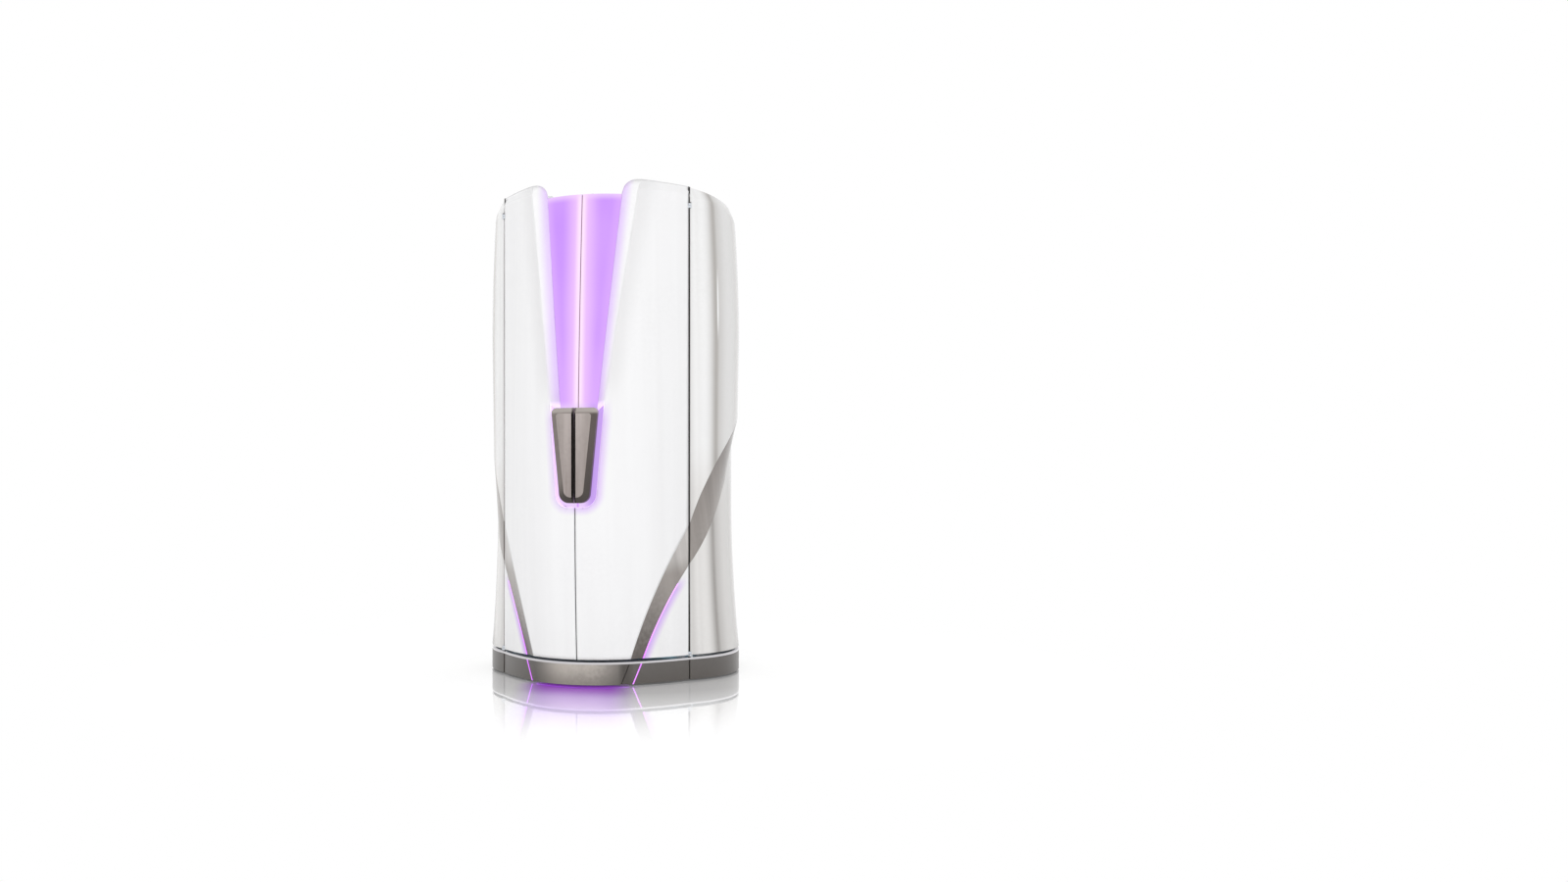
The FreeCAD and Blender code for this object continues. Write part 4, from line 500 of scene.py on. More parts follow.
# %% Ramp finish
def ramp_inputs(net):
    """Satin taupe with painted light: painted shade at the foot that turns paler up the ramp,
    a painted highlight on the shoulder beside the split, painted shade higher up, and bands
    of painted reflection.
    """
    _, y, z = net.axes()
    # Painted shade at the foot, paler up the ramp.
    colour = net.mix(z.fade(0.12, 0.52), (88, 81, 76), (160, 153, 148))
    # Painted highlight on the shoulder beside the split.
    shoulder = z.fade(0.50, 0.60) * y.span(-0.375, -0.364, 1.0, 0.0)
    colour = net.mix(shoulder, colour, (206, 202, 199))
    # Painted shade higher up.
    colour = net.mix(z.fade(0.70, 1.20), colour, (128, 120, 116))
    # Painted reflection bands.
    band = net.effect("painted_reflection_bands", Scale=8.0, Lean=0.4, Softness=0.2)
    colour = net.mix(band * 0.35, colour, (96, 89, 85))
    mark = net.effect("handling_marks", Amount=0.3)
    return {"Base Color": net.mix(mark, colour, (190, 184, 180)), "Roughness": 0.34, "Metallic": 0.35,
            "Coat Weight": 0.8, "Coat Roughness": 0.06}


new_material("ramp_taupe", ramp_inputs, grain=(900.0, 0.1))


# %% Handle finishes
def grip_inputs(net):
    """Handle's face: painted light paler at the top, soft upright painted reflections, and
    painted shade darker at its edge.
    """
    x, _, z = net.axes()
    # Painted light: paler at the top.
    colour = net.mix(z.fade(0.86, 1.26), (147, 136, 132), (174, 164, 160))
    # Painted reflections.
    sheen = net.effect("painted_reflection_bands", Scale=60.0, Lean=0.02, Softness=0.25)
    colour = net.mix(sheen * 0.5, colour, (188, 178, 175))
    # Painted shade at the edge.
    colour = net.mix(abs(x).fade(0.034, 0.070) * 0.4, colour, (130, 121, 115))
    mark = net.effect("handling_marks", Amount=0.4)
    return {"Base Color": net.mix(mark, colour, (128, 120, 114)), "Roughness": 0.36, "Metallic": 0.25,
            "Coat Weight": 0.15}


def grip_edge_shade_inputs(net):
    """Bevel round the handle, its taupe painted dark as shade at the sides and the foot, with
    painted light paler on the left and along the top.
    """
    x, _, z = net.axes()
    # Painted shade on the bevel, paler along the top as painted light.
    colour = net.mix(z.fade(0.86, 1.20), (62, 55, 51), (84, 74, 71))
    # Painted light: the left side is paler.
    colour = net.mix(x.fade(-0.060, -0.040, 0.7, 0.0) * z.fade(0.86, 0.95), colour, (132, 123, 117))
    colour = net.mix(z.fade(1.246, 1.262), colour, (170, 162, 156))
    mark = net.effect("handling_marks", Amount=0.4)
    return {"Base Color": net.mix(mark, colour, (80, 72, 67)), "Roughness": 0.3, "Metallic": 0.3, "Coat Weight": 0.3}


def grip_plate_inputs(net):
    """Handle's plate at the seam: taupe, with painted shade near black at its front, where the
    two halves meet.
    """
    _, y, _ = net.axes()
    colour = net.mix(net.effect("handling_marks", Amount=0.4), (146, 138, 132), (120, 112, 106))
    # Painted shade: near black at the front, in the seam.
    return {"Base Color": net.mix(y.fade(-0.722, -0.700, 1.0, 0.0), colour, (34, 28, 26)), "Roughness": 0.4,
            "Metallic": 0.25}


new_material("handle_taupe", grip_inputs)
new_material("handle_edge_shade", grip_edge_shade_inputs, grain=(900.0, 0.1))
new_material("handle_plate", grip_plate_inputs)

# %% [markdown]
# ## Aluminium and mirror sheet
#
# The door frames and posts are extrusions with a satin anodised skin. Drawing the metal
# leaves fine lines along its length, so the grain is stretched upwards and the gloss
# changes across the profile. Soft upright bands of painted reflection darken the colour.
# The reflectors behind the lamps are brighter sheet.

# %% Extruded aluminium
DRAWN = 60.0


def extruded_inputs(net, light, dark, roughness, metal):
    """Satin metal with grain along its length and soft upright bands of painted reflection,
    weaker on the rails.
    """
    _, _, z = net.axes()
    band = net.effect("painted_reflection_bands", Scale=17.0, Lean=0.0, Softness=0.14)
    line = net.effect("fine_grain", Scale=900.0, Stretch=DRAWN)
    upright = z.span(0.17, 0.19) * z.span(2.19, 2.21, 1.0, 0.0)
    # Painted reflection bands, weaker on the rails.
    colour = net.mix(band * (upright * 0.68 + 0.12), light, dark)
    return {"Base Color": net.mix(line.span(0.3, 0.7, 0.0, 0.12), colour, dark),
            "Roughness": line.span(0.3, 0.7, roughness - 0.06, roughness + 0.1), "Metallic": metal}


new_material("aluminium", extruded_inputs, (226, 230, 235), (104, 120, 142), 0.27, 0.85, stretch=DRAWN)
new_material("mirror_sheet", extruded_inputs, (122, 198, 222), (84, 166, 200), 0.22, 0.4, stretch=DRAWN)

# %% [markdown]
# ## Things that give light
#
# The lamp tubes are pale cyan with a whiter middle, the front panel is lilac with a
# pink glow along the seam, and thin violet lines run down the ramps. Emission is near 1,
# so each shows the colour that is typed here. The strips are a little stronger, because
# they are seen to spill light on what is beside them.


# %% Lit panel and strips
def lit_inputs(net, colour_of, strength, roughness=0.3):
    """Gives out the colour that colour_of builds, over a dark body of the same colour."""
    colour = colour_of(net)
    return {"Base Color": net.mix(0.88, colour, BLACK), "Emission Color": colour, "Emission Strength": strength,
            "Roughness": roughness}


def panel_colour(net):
    """Violet, pink-white beside the seam, paler at the outer edge, the top and in the well;
    in the well the right side is painted deeper violet, as shade.
    """
    x, _, z = net.axes()
    away = abs(x)
    noise = net.noise(net.place(), 2.4, 1.0).span(0.35, 0.65)
    body = net.mix(noise, (197, 140, 252), (207, 154, 254))
    body = net.mix((away - opening_edge(z, 0.0)).fade(-0.045, 0.0, 0.0, 0.6), body, (218, 168, 250))
    body = net.mix(away.fade(0.010, 0.100, 0.85, 0.0), body, (240, 196, 250))
    body = net.mix(away.fade(0.004, 0.034, 0.85, 0.0), body, (255, 232, 252))
    body = net.mix(z.fade(2.245, 2.280, 0.0, 0.6), body, (244, 214, 255))
    # Painted shade: the well's ring is deeper violet on the right than on the left.
    ring = net.mix(x.fade(0.02, 0.07), (234, 206, 250), (196, 158, 236))
    return net.mix(z.fade(1.26, 1.32, 1.0, 0.0), body, ring)


def strip_colour(net):
    """Violet with a paler, brighter middle that comes and goes softly along the strip."""
    _, _, z = net.axes()
    pale = net.mix(z.fade(0.10, 0.40), (214, 104, 252), (226, 172, 255))
    return net.mix(net.noise(net.place(), 9.0, 0.0).span(0.3, 0.7, 0.0, 0.3), pale, (236, 190, 255))


def under_colour(net):
    """Deep violet of the strip under the base, paler towards its ends."""
    x, _, _ = net.axes()
    return net.mix(abs(x).fade(0.1, 0.3), (178, 56, 226), (196, 110, 245))


def tube_colour(net):
    """Cyan lamp glow: dimmer at both ends, where the electrodes are."""
    _, _, z = net.axes()
    return net.mix(z.fade(0.19, 0.30) * z.fade(2.10, 2.19, 1.0, 0.0), (112, 190, 216), (206, 248, 252))


def rim_colour(net):
    """Pale line of light round the top of the base."""
    return net.mix(net.noise(net.place(), 5.0, 2.0), (226, 224, 226), (250, 248, 252))


def seam_violet_colour(net):
    """Violet of the doors' lit edges, paler towards their front."""
    _, y, _ = net.axes()
    deep = net.mix(net.noise(net.place(), 3.0, 1.0).span(0.3, 0.7), (200, 134, 246), (212, 152, 250))
    return net.mix(y.fade(-0.60, -0.50, 0.6, 0.0), deep, (226, 180, 252))


# %% Column panel and displays
def column_colour(net):
    """Pink panel with darker blue edges and soft generic mottling."""
    x, _, _ = net.axes()
    cells = net.get("ShaderNodeTexVoronoi", {"Vector": net.place(), "Scale": 38.0, "Smoothness": 1.0}, "Distance",
                    feature="SMOOTH_F1")
    pink = net.mix(cells.fade(0.25, 0.6), (250, 216, 248), (232, 180, 238))
    return net.mix(abs(x).fade(0.050, 0.064), pink, (88, 98, 158))


def screen_colour(net):
    """Small display: dark blue glass with a paler window, which repeats with the height."""
    x, _, z = net.axes()
    rows = (z - 0.978).work("PINGPONG", 0.040).span(0.010, 0.014)
    return net.mix(abs(x).span(0.016, 0.020, 1.0, 0.0) * rows, (52, 66, 104), (178, 200, 232))


for name, colour_of, strength, roughness in (
        ("light_panel", panel_colour, 0.90, 0.25), ("violet_strip", strip_colour, 1.3, 0.3),
        ("violet_under", under_colour, 1.2, 0.3), ("lamp_tube", tube_colour, 1.05, 0.3),
        ("rim_glow", rim_colour, 0.55, 0.3), ("seam_violet", seam_violet_colour, 0.92, 0.3),
        ("column_pink", column_colour, 0.75, 0.3), ("display_glass", screen_colour, 0.5, 0.1)):
    new_material(name, lit_inputs, colour_of, strength, roughness, grain=None)

# %% [markdown]
# ## Clear acrylic, tread and speakers
#
# The shields in front of the lamps are clear acrylic, 3 mm thick, so they are mostly
# see-through with a little gloss. The canopy is tinted. The tread is ribbed plastic, and
# the speaker covers are perforated plates, whose holes are a product of two waves.


# %% Clear sheet, tread and speakers
def clear_inputs(net, tint, roughness, alpha):
    """See-through sheet with a faint tint; marks make it a little rougher and denser."""
    mark = net.effect("handling_marks", Scale=2.0, Amount=0.4)
    return {"Base Color": net.mix(mark, tint, (235, 250, 255)),
            "Roughness": mark.span(0.0, 1.0, roughness, roughness + 0.1),
            "Alpha": mark.span(0.0, 1.0, alpha, alpha + 0.08), "IOR": 1.49}


def tread_inputs(net):
    """Blue-grey plastic with fine ribs across, worn paler in the middle."""
    x, y, _ = net.axes()
    wear = (x * x + y * y).work("SQRT").fade(0.12, 0.45, 0.7, 0.0)
    colour = net.mix(wear, (128, 150, 172), (160, 180, 198))
    mark = net.effect("handling_marks", Amount=0.8)
    return {"Base Color": net.mix(mark, colour, (112, 132, 152)), "Roughness": 0.42,
            "Normal": net.bump((x * 520.0).work("SINE"), 0.35, 0.001)}


def speaker_inputs(net):
    """Dark holes in even rows on a tinted plate."""
    x, y, _ = net.axes()
    hole = ((x * 900.0).work("SINE") * (y * 900.0).work("SINE")).fade(0.1, 0.35)
    return {"Base Color": net.mix(hole, (56, 84, 98), (10, 16, 20)), "Roughness": 0.45,
            "Normal": net.bump(1.0 - hole, 0.6, 0.001)}


new_material("clear_acrylic", clear_inputs, (214, 244, 252), 0.06, 0.10, grain=None)
new_material("canopy_blue", clear_inputs, (58, 150, 190), 0.14, 0.86, grain=None)
new_material("tread_blue", tread_inputs, grain=None)
new_material("speaker_dark", speaker_inputs, grain=None)

# %% [markdown]
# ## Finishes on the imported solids
#
# Solids whose shape is right as it is keep their mesh and only change their finish. The
# moulded skins, tubes and other round pieces are replaced further down.

# %% Assign finishes
NODE_FINISHES = {
    "aluminium": ["door_frame_right", "door_frame_left", "front_posts"],
    "mirror_sheet": ["door_reflector_right", "door_reflector_left"],
    "clear_acrylic": ["door_shield_right", "door_shield_left"],
    "holder_white": ["rear_lampholders", "air_ducts"],
    "chassis_paint": ["hinge_pins"],
    "deck_paint": ["base_chassis"],
    "rubber_black": ["levelling_feet"],
    "platform_dark": ["floor_platform"],
    "tread_blue": ["floor_tread"],
    "column_grey": ["column_housing"],
    "column_pink": ["column_panel"],
    "strip_lilac": ["control_strip"],
    "display_glass": ["column_displays"],
    "dock_black": ["media_dock"],
    "roof_grey": ["roof_frame"],
    "canopy_blue": ["ceiling_canopy"],
    "speaker_dark": ["ceiling_speakers"],
    "fan_dark": ["fan_rotor", "fan_shroud"],
    "violet_strip": ["base_led_strips", "door_led_right", "door_led_left"],
    "key_grey": [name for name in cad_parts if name.endswith("_key")],
}
for finish, names in NODE_FINISHES.items():
    for name in names:
        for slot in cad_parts[name].material_slots:
            slot.material = FINISHES[finish]
print(sum(len(names) for names in NODE_FINISHES.values()), "solids keep their mesh")

# %% [markdown]
# ## Surfaces from grids
#
# Every new piece starts as a grid of points: rows one way, columns the other. The points
# come from a formula on whole arrays, and the grid's own order gives the faces. Seen
# from outside, columns run to the right and rows run up, so faces point outwards.
# A wall gets its thickness from a Solidify modifier and its softened edges from a Bevel.


# %% Grid helpers
WELD, EDGE = 0.00005, 0.0012


def grid_faces(rows, columns, start):
    """Corner numbers of every quad in a grid: each point, its right neighbour, and the two above."""
    index = np.arange(rows * columns).reshape(rows, columns) + start
    return np.stack([index[:-1, :-1], index[:-1, 1:], index[1:, 1:], index[1:, :-1]], -1).reshape(-1, 4)


def thicken(piece, wall, edge):
    """Wall thickness inwards and a small round on the edges, each only where it isn't zero."""
    if wall:
        solid = piece.modifiers.new("wall", "SOLIDIFY")
        solid.thickness = wall
        solid.offset = -1.0
    if edge:
        rim = piece.modifiers.new("rim", "BEVEL")
        rim.width = edge
        rim.segments = 2
        rim.limit_method = "ANGLE"
        rim.angle_limit = np.radians(40.0)
        rim.harden_normals = True


def piece_from(name, sheets, finish, slot, body="cabinet", node=None, wall=0.0, edge=0.0, sharp=32.0):
    """Mesh object made of one or more grids of points, in place of a node if one is named.
    Equal points are welded, and edges that turn more than the sharp angle stay crisp."""
    starts = np.cumsum([0] + [sheet[..., 0].size for sheet in sheets])
    points = np.concatenate([sheet.reshape(-1, 3) for sheet in sheets]).astype(np.float32)
    faces = np.concatenate([grid_faces(*sheet.shape[:2], start) for sheet, start in zip(sheets, starts)])
    mesh = bpy.data.meshes.new(name)
    mesh.vertices.add(len(points))
    mesh.vertices.foreach_set("co", points.ravel())
    mesh.loops.add(faces.size)
    mesh.loops.foreach_set("vertex_index", faces.astype(np.int32).ravel())
    mesh.polygons.add(len(faces))
    mesh.polygons.foreach_set("loop_start", np.arange(0, faces.size, 4, dtype=np.int32))
    mesh.update(calc_edges=True)
    welder = bmesh.new()
    welder.from_mesh(mesh)
    bmesh.ops.remove_doubles(welder, verts=welder.verts, dist=WELD)
    bmesh.ops.dissolve_degenerate(welder, edges=welder.edges, dist=WELD / 10)
    welder.to_mesh(mesh)
    welder.free()
    mesh.polygons.foreach_set("use_smooth", np.ones(len(mesh.polygons), bool))
    mesh.set_sharp_from_angle(angle=np.radians(sharp))
    mesh.materials.append(FINISHES[finish])
    piece = bpy.data.objects.new(name, mesh)
    bpy.context.scene.collection.objects.link(piece)
    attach(piece, body)
    thicken(piece, wall, edge)
    if node:
        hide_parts(node)
    return piece


# %% Mirror images and shares
def mirrored(sheet):
    """The same grid on the other side of the booth, with its columns turned round."""
    flipped = sheet[:, ::-1].copy()
    flipped[..., 0] *= -1.0
    return flipped


def both_doors(name, sheets, finish, slot, node="", **build):
    """Right-hand piece and its mirror image, each on its own door and in place of its node."""
    return [piece_from(f"{name}_{side}_skin", grids, finish, slot, f"door_{side}", node and f"{node}_{side}", **build)
            for side, grids in (("right", sheets), ("left", [mirrored(sheet) for sheet in sheets]))]


def share_grid(rows, columns):
    """Two arrays of numbers from 0 to 1: one grows up the rows, the other along the columns."""
    up = np.linspace(0.0, 1.0, rows)[:, None] * np.ones(columns)
    along = np.ones((rows, 1)) * np.linspace(0.0, 1.0, columns)
    return up, along


def stack(x, y, z):
    """Three coordinate arrays as one array of points."""
    return np.stack(np.broadcast_arrays(x, y, z), -1)


# %% [markdown]
# ## The bowed front
#
# Seen from above, each door is half of a parabola that runs from the seam to the hinge
# line. Its depth at the seam changes with height: it is deepest at the waist, leans back
# towards the top and draws in a little towards the floor. One function gives the whole
# moulded front, and every door piece below reads its depth from it.

# %% Shape of the doors
hinge_x, hinge_y = 0.465, 0.365
WAIST = 0.900
WAIST_DEPTH = 0.703
FOOT_DEPTH = 0.674
CROWN_DEPTH = 0.622
WALL = 0.007
shell_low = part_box("door_shell_lower_right")[0].z
shell_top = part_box("door_shell_upper_right")[1].z
SEAM = 0.004
LOWER_RECESS = 0.020
CROWN_BAND = 0.048
CROWN_LEAN = 0.022
OUTER_DROP = shell_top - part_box("side_shells_upper")[1].z
SKIN_SEAM = 0.0026
SKIN_EDGE = hinge_x - 0.0050


def front_depth(z):
    """Depth at the seam: falls with the square of the way down from the waist, and with
    the 1.6th power of the way up from it."""
    down = np.clip((WAIST - z) / (WAIST - shell_low), 0, None)
    up = np.clip((z - WAIST) / (shell_top - WAIST), 0, None)
    return WAIST_DEPTH - (WAIST_DEPTH - FOOT_DEPTH) * down ** 2 - (WAIST_DEPTH - CROWN_DEPTH) * up ** 1.6


def front_y(x, z, back=0.0, recess=0.0):
    """Depth of the front at x: the seam depth, less the square of the way to the hinge line."""
    depth = front_depth(z) - recess
    return back - depth + (depth - hinge_y) * (x / hinge_x) ** 2


def crown(z, top=shell_top):
    """How far the wall leans in over its last few centimetres."""
    return CROWN_LEAN * np.clip((z - (top - CROWN_BAND)) / CROWN_BAND, 0, 1)


def curve_through(corners, count=200):
    """Smooth curve through a few points: one polynomial over the chord length."""
    corners = np.array(corners, float)
    steps = np.concatenate([[0.0], np.cumsum(np.hypot(*np.diff(corners, axis=0).T))])
    fit = [np.polyfit(steps, corners[:, axis], len(corners) - 1) for axis in (0, 1)]
    spots = np.linspace(0, steps[-1], count)
    return np.stack([np.polyval(line, spots) for line in fit], -1)


RAMP_HIGH = curve_through([(0.230, 0.102), (0.322, 0.390), (0.465, 0.738)])
RAMP_LOW = curve_through([(0.274, 0.102), (0.348, 0.307), (0.465, 0.556)])


def ramp_x(edge, z):
    """Where an edge of the ramp is at a height."""
    return np.interp(z, edge[:, 1], edge[:, 0])


print("front depth at foot, waist and crown", front_depth(np.array([shell_low, WAIST, shell_top])))

# %% Outline of the lit opening and the handle well
OPENING_LOW = 1.280
HANDLE_LOW, HANDLE_HIGH = 0.842, 1.278
MARGIN = 0.019
WELL_LOW = HANDLE_LOW - MARGIN
WELL_HIGH = HANDLE_HIGH + MARGIN
WELL_CORNER = 0.0555
PANEL_RECESS = 0.045
panel_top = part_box("door_light_panel_right")[1].z


def opening_x(z, bevel):
    """Half width of the lit opening: straight sides that open upwards, plus the bevel."""
    share = (z - OPENING_LOW) / (shell_top - OPENING_LOW)
    return 0.088 + 0.099 * share + (0.037 + 0.043 * share) * bevel


def well_x(z, margin=MARGIN):
    """Half width of the well round the handle: a straight side and a round lower corner."""
    low = HANDLE_LOW - margin
    side = 0.074 + margin + 0.036 * (z - low) / (HANDLE_HIGH + 2 * margin - HANDLE_LOW)
    radius = 0.046 + margin / 2
    rise = np.clip(z - low, 0, radius)
    return side - radius + np.sqrt(np.clip(radius ** 2 - (radius - rise) ** 2, 0, None))


def skin_inner_x(z):
    """Inner edge of the white skin above the well's floor."""
    return np.where(z < WELL_HIGH, np.minimum(well_x(z), opening_x(WELL_HIGH, 1.0)), opening_x(z, 1.0))


# %% White skin of the upper door
def upper_rows():
    """Heights of the grid's rows: close together at the well's corner and at the crown."""
    corner = WELL_LOW + WELL_CORNER * (1 - np.cos(np.linspace(0, np.pi / 2, 14)))
    side = np.linspace(corner[-1], WELL_HIGH, 16)[1:]
    flank = np.linspace(WELL_HIGH, shell_top - CROWN_BAND, 36)[1:]
    top = np.linspace(shell_top - CROWN_BAND, shell_top, 6)[1:]
    return np.concatenate([corner, side, flank, top])


FALL_START = 0.267


def skin_sheet(rows, inner, outer, columns):
    """Rows of the door's front between an inner and an outer edge, leaned in at the crown."""
    _, along = share_grid(len(rows), columns)
    z = rows[:, None] * np.ones(columns)
    x = inner[:, None] + (outer - inner)[:, None] * along
    fall = OUTER_DROP * np.clip((x - FALL_START) / (hinge_x - FALL_START), 0, 1)
    fall = fall * np.clip((z - (shell_top - CROWN_BAND)) / CROWN_BAND, 0, 1)
    return stack(x, front_y(x, z, crown(z)), z - fall)


below = np.linspace(shell_low, WELL_LOW, 40)
above = upper_rows()
edge_below = np.minimum(ramp_x(RAMP_HIGH, below), SKIN_EDGE)
corner_x = np.full(len(below), float(well_x(np.array(WELL_LOW))))
seam_skin = skin_sheet(below, np.full(len(below), SKIN_SEAM), corner_x, 6)
low_skin = skin_sheet(below, corner_x, edge_below, 34)
high_skin = skin_sheet(above, skin_inner_x(above), np.full(len(above), SKIN_EDGE), 34)

# %% [markdown]
# The bevel falls from the skin to the lit panel. Its top is cut by a quarter circle that
# starts at the panel's edge and ends level with the door's top, so each column of the grid
# stops on that circle.

# %% Bevel and well wall
NOTCH_RADIUS = 0.062


def bevel_sheet():
    """Straight lines from the panel's edge out to the skin's edge; columns end on the circle."""
    up, along = share_grid(40, 13)
    low = WELL_HIGH - 0.030 + 0.028 * along
    spread = opening_x(shell_top, along) - opening_x(shell_top, 0.0)
    short = NOTCH_RADIUS - np.clip(spread, 0, NOTCH_RADIUS)
    high = shell_top - NOTCH_RADIUS + np.sqrt(NOTCH_RADIUS ** 2 - short ** 2)
    z = low + (high - low) * up
    inner_y = front_y(opening_x(z, 0.0), z, PANEL_RECESS)
    outer_y = front_y(opening_x(z, 1.0), z, crown(z))
    return stack(opening_x(z, along), inner_y + (outer_y - inner_y) * along, z)


def well_wall():
    """Outline of the well carried straight back from the skin to the panel."""
    floor_x = np.linspace(SKIN_SEAM, float(well_x(np.array(WELL_LOW))), 6)[:-1]
    z_side = np.concatenate([WELL_LOW + WELL_CORNER * (1 - np.cos(np.linspace(0, np.pi / 2, 18))),
                             np.linspace(WELL_LOW + WELL_CORNER, WELL_HIGH, 14)[1:]])
    x_path = np.concatenate([floor_x, well_x(z_side)])
    z_path = np.concatenate([np.full(5, WELL_LOW), z_side])
    back = np.linspace(PANEL_RECESS, 0.0, 5)[:, None]
    return stack(x_path[None, :], front_y(x_path, z_path)[None, :] + back, z_path[None, :])[:, ::-1]


door_skins = both_doors("door_shell_upper", [seam_skin, low_skin, high_skin, bevel_sheet(), well_wall()],
                        "shell_white", "white_shell", "door_shell_upper", wall=0.006, sharp=20.0)
print("door skin", len(door_skins[0].data.polygons), "faces")

# %% Lower skin, ramp and lit panel
LOWER_END, RAMP_HIGH_END, RAMP_LOW_END = 0.550, 0.730, 0.551


def lower_sheet():
    """Recessed skin under the ramp: rows run from the ramp's lower edge to the hinge line."""
    rows = np.linspace(shell_low, LOWER_END, 40)
    inner = ramp_x(RAMP_LOW, rows) + 0.001
    _, along = share_grid(len(rows), 16)
    x = inner[:, None] + (SKIN_EDGE - inner)[:, None] * along
    z = rows[:, None] * np.ones(16)
    return stack(x, front_y(x, z, 0.0, LOWER_RECESS), z)


def ramp_sheet():
    """Band between the two ramp edges; each row joins equal shares of both edges."""
    up, along = share_grid(40, 9)
    high_z = shell_low + (RAMP_HIGH_END - shell_low) * up
    low_z = shell_low + (RAMP_LOW_END - shell_low) * up
    high_x = np.minimum(ramp_x(RAMP_HIGH, high_z) + 0.0005, SKIN_EDGE)
    low_x = np.minimum(ramp_x(RAMP_LOW, low_z), SKIN_EDGE)
    high = stack(high_x, front_y(high_x, high_z), high_z)
    low = stack(low_x, front_y(low_x, low_z, 0.0, LOWER_RECESS), low_z)
    dish = 0.003 * np.sin(np.pi * along)[..., None] * np.array([0.0, 1.0, 0.0])
    return high + (low - high) * along[..., None] + dish


def panel_sheet():
    """Lit sheet between the seam and the opening's inner edge, wider behind the handle."""
    rows = np.concatenate([np.linspace(WELL_LOW - 0.003, WELL_HIGH, 30), np.linspace(WELL_HIGH, panel_top, 40)[1:]])
    outer = np.where(rows < WELL_HIGH + 0.03, well_x(np.clip(rows, WELL_LOW, WELL_HIGH)) + 0.003, opening_x(rows, 0.0))
    inner = np.where(rows < HANDLE_HIGH - 0.004, SEAM + 0.0010, SKIN_SEAM)[:, None]
    _, along = share_grid(len(rows), 20)
    x = inner + (outer[:, None] - inner) * along
    z = rows[:, None] * np.ones(20)
    return stack(x, front_y(x, z, PANEL_RECESS), z)


for name, sheet, finish, slot, wall in (
        ("door_shell_lower", lower_sheet(), "shell_white", "white_shell", WALL),
        ("door_ramp", ramp_sheet(), "ramp_taupe", "taupe_trim", 0.005),
        ("door_light_panel", panel_sheet(), "light_panel", "lilac_panel", 0.004)):
    both_doors(name, [sheet], finish, slot, name, wall=wall, edge=EDGE)

# %% [markdown]
# ## Side shells
#
# Behind the hinge line the wall is a quarter of an ellipse up to the widest point and a
# near circle behind it. Columns run along the wall, rows run from the ramp to the top,
# so that the sweeping edge of the ramp is the first row of one shell and the last row of
# the other.

# %% Shape of the sides
HALF_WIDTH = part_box("side_shells_upper")[1].x - 0.0002
LOWER_HALF = 0.590
BULGE = 1.650
REAR_RADIUS = 0.630
SIDE_END = 0.170
side_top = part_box("side_shells_upper")[1].z
rear_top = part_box("rear_cover")[1].z


def upper_half(z):
    """Half width of the upper shell: fullest at the bulge, straight below it, drawn in above."""
    up = np.clip((z - BULGE) / (shell_top - BULGE), 0, None)
    down = np.clip((BULGE - z) / (BULGE - 0.556), 0, None)
    return HALF_WIDTH - 0.030 * up ** 2 - 0.022 * down


def lower_half(z):
    """Half width of the lower shell, which flares out to the base."""
    down = np.clip((WAIST - z) / (WAIST - shell_low), 0, None)
    return LOWER_HALF + 0.040 * down ** 2


def side_edge(y):
    """Height of the top edge, which falls in a straight line from the doors to the rear cover."""
    return side_top + (rear_top - side_top) * (y + hinge_y) / (SIDE_END + hinge_y)


def side_point(y, z, half, inset=0.0):
    """Point of the wall at (y, z): an ellipse through the hinge line in front, a circle behind."""
    wide = half(z)
    deep = np.where(y < 0, hinge_y / np.sqrt(1 - (hinge_x / wide) ** 2), REAR_RADIUS)
    return stack((wide - inset) * np.sqrt(np.clip(1 - (y / deep) ** 2, 0, None)), y, z)

# %% [markdown]
# The two edges of the side's ramp are smooth curves through a few points. The upper skin
# starts at one of them, the lower skin ends at the other, and the ramp fills the band.

# %% Skins and ramps of the sides
SIDE_HIGH = curve_through([(-0.365, 0.738), (-0.201, 1.060), (0.171, 1.300)])
SIDE_LOW = curve_through([(-0.365, 0.556), (-0.216, 0.768), (0.052, 1.150), (0.171, 1.292)])
wall_y = -hinge_y + 0.0030 + (SIDE_END + hinge_y - 0.0030) * np.linspace(0.0, 1.0, 44) ** 1.25
high_z = np.interp(wall_y, SIDE_HIGH[:, 0], SIDE_HIGH[:, 1])
low_z = np.interp(wall_y, SIDE_LOW[:, 0], SIDE_LOW[:, 1])


def side_sheet(bottom, top, half, rows, top_band=0.0):
    """Rows from one edge to the other; the last rows lean in where there is a crown."""
    up, _ = share_grid(rows, len(wall_y))
    z = bottom + (top - bottom) * up
    y = wall_y * np.ones((rows, 1))
    points = side_point(y, z, half)
    if top_band:
        lean = crown(z, side_edge(y))
        points[..., 0] -= lean * 0.8
        points[..., 1] += np.where(y < 0, lean * 0.5 * (-y / hinge_y), 0)
    return points


def side_ramp_sheet():
    """Band between the two sweeping edges, one on the upper wall and one on the lower."""
    high = side_point(wall_y, high_z, upper_half)
    low = side_point(wall_y, low_z, lower_half)
    share = np.linspace(0, 1, 9)[:, None, None]
    return low[None] + (high - low)[None] * share


def both_sides(name, sheet, finish, slot, wall, node):
    """One piece that holds the right-hand sheet and its mirror image, in place of a node."""
    piece_from(name, [sheet, mirrored(sheet)], finish, slot, node=node, wall=wall, edge=EDGE, sharp=20.0)


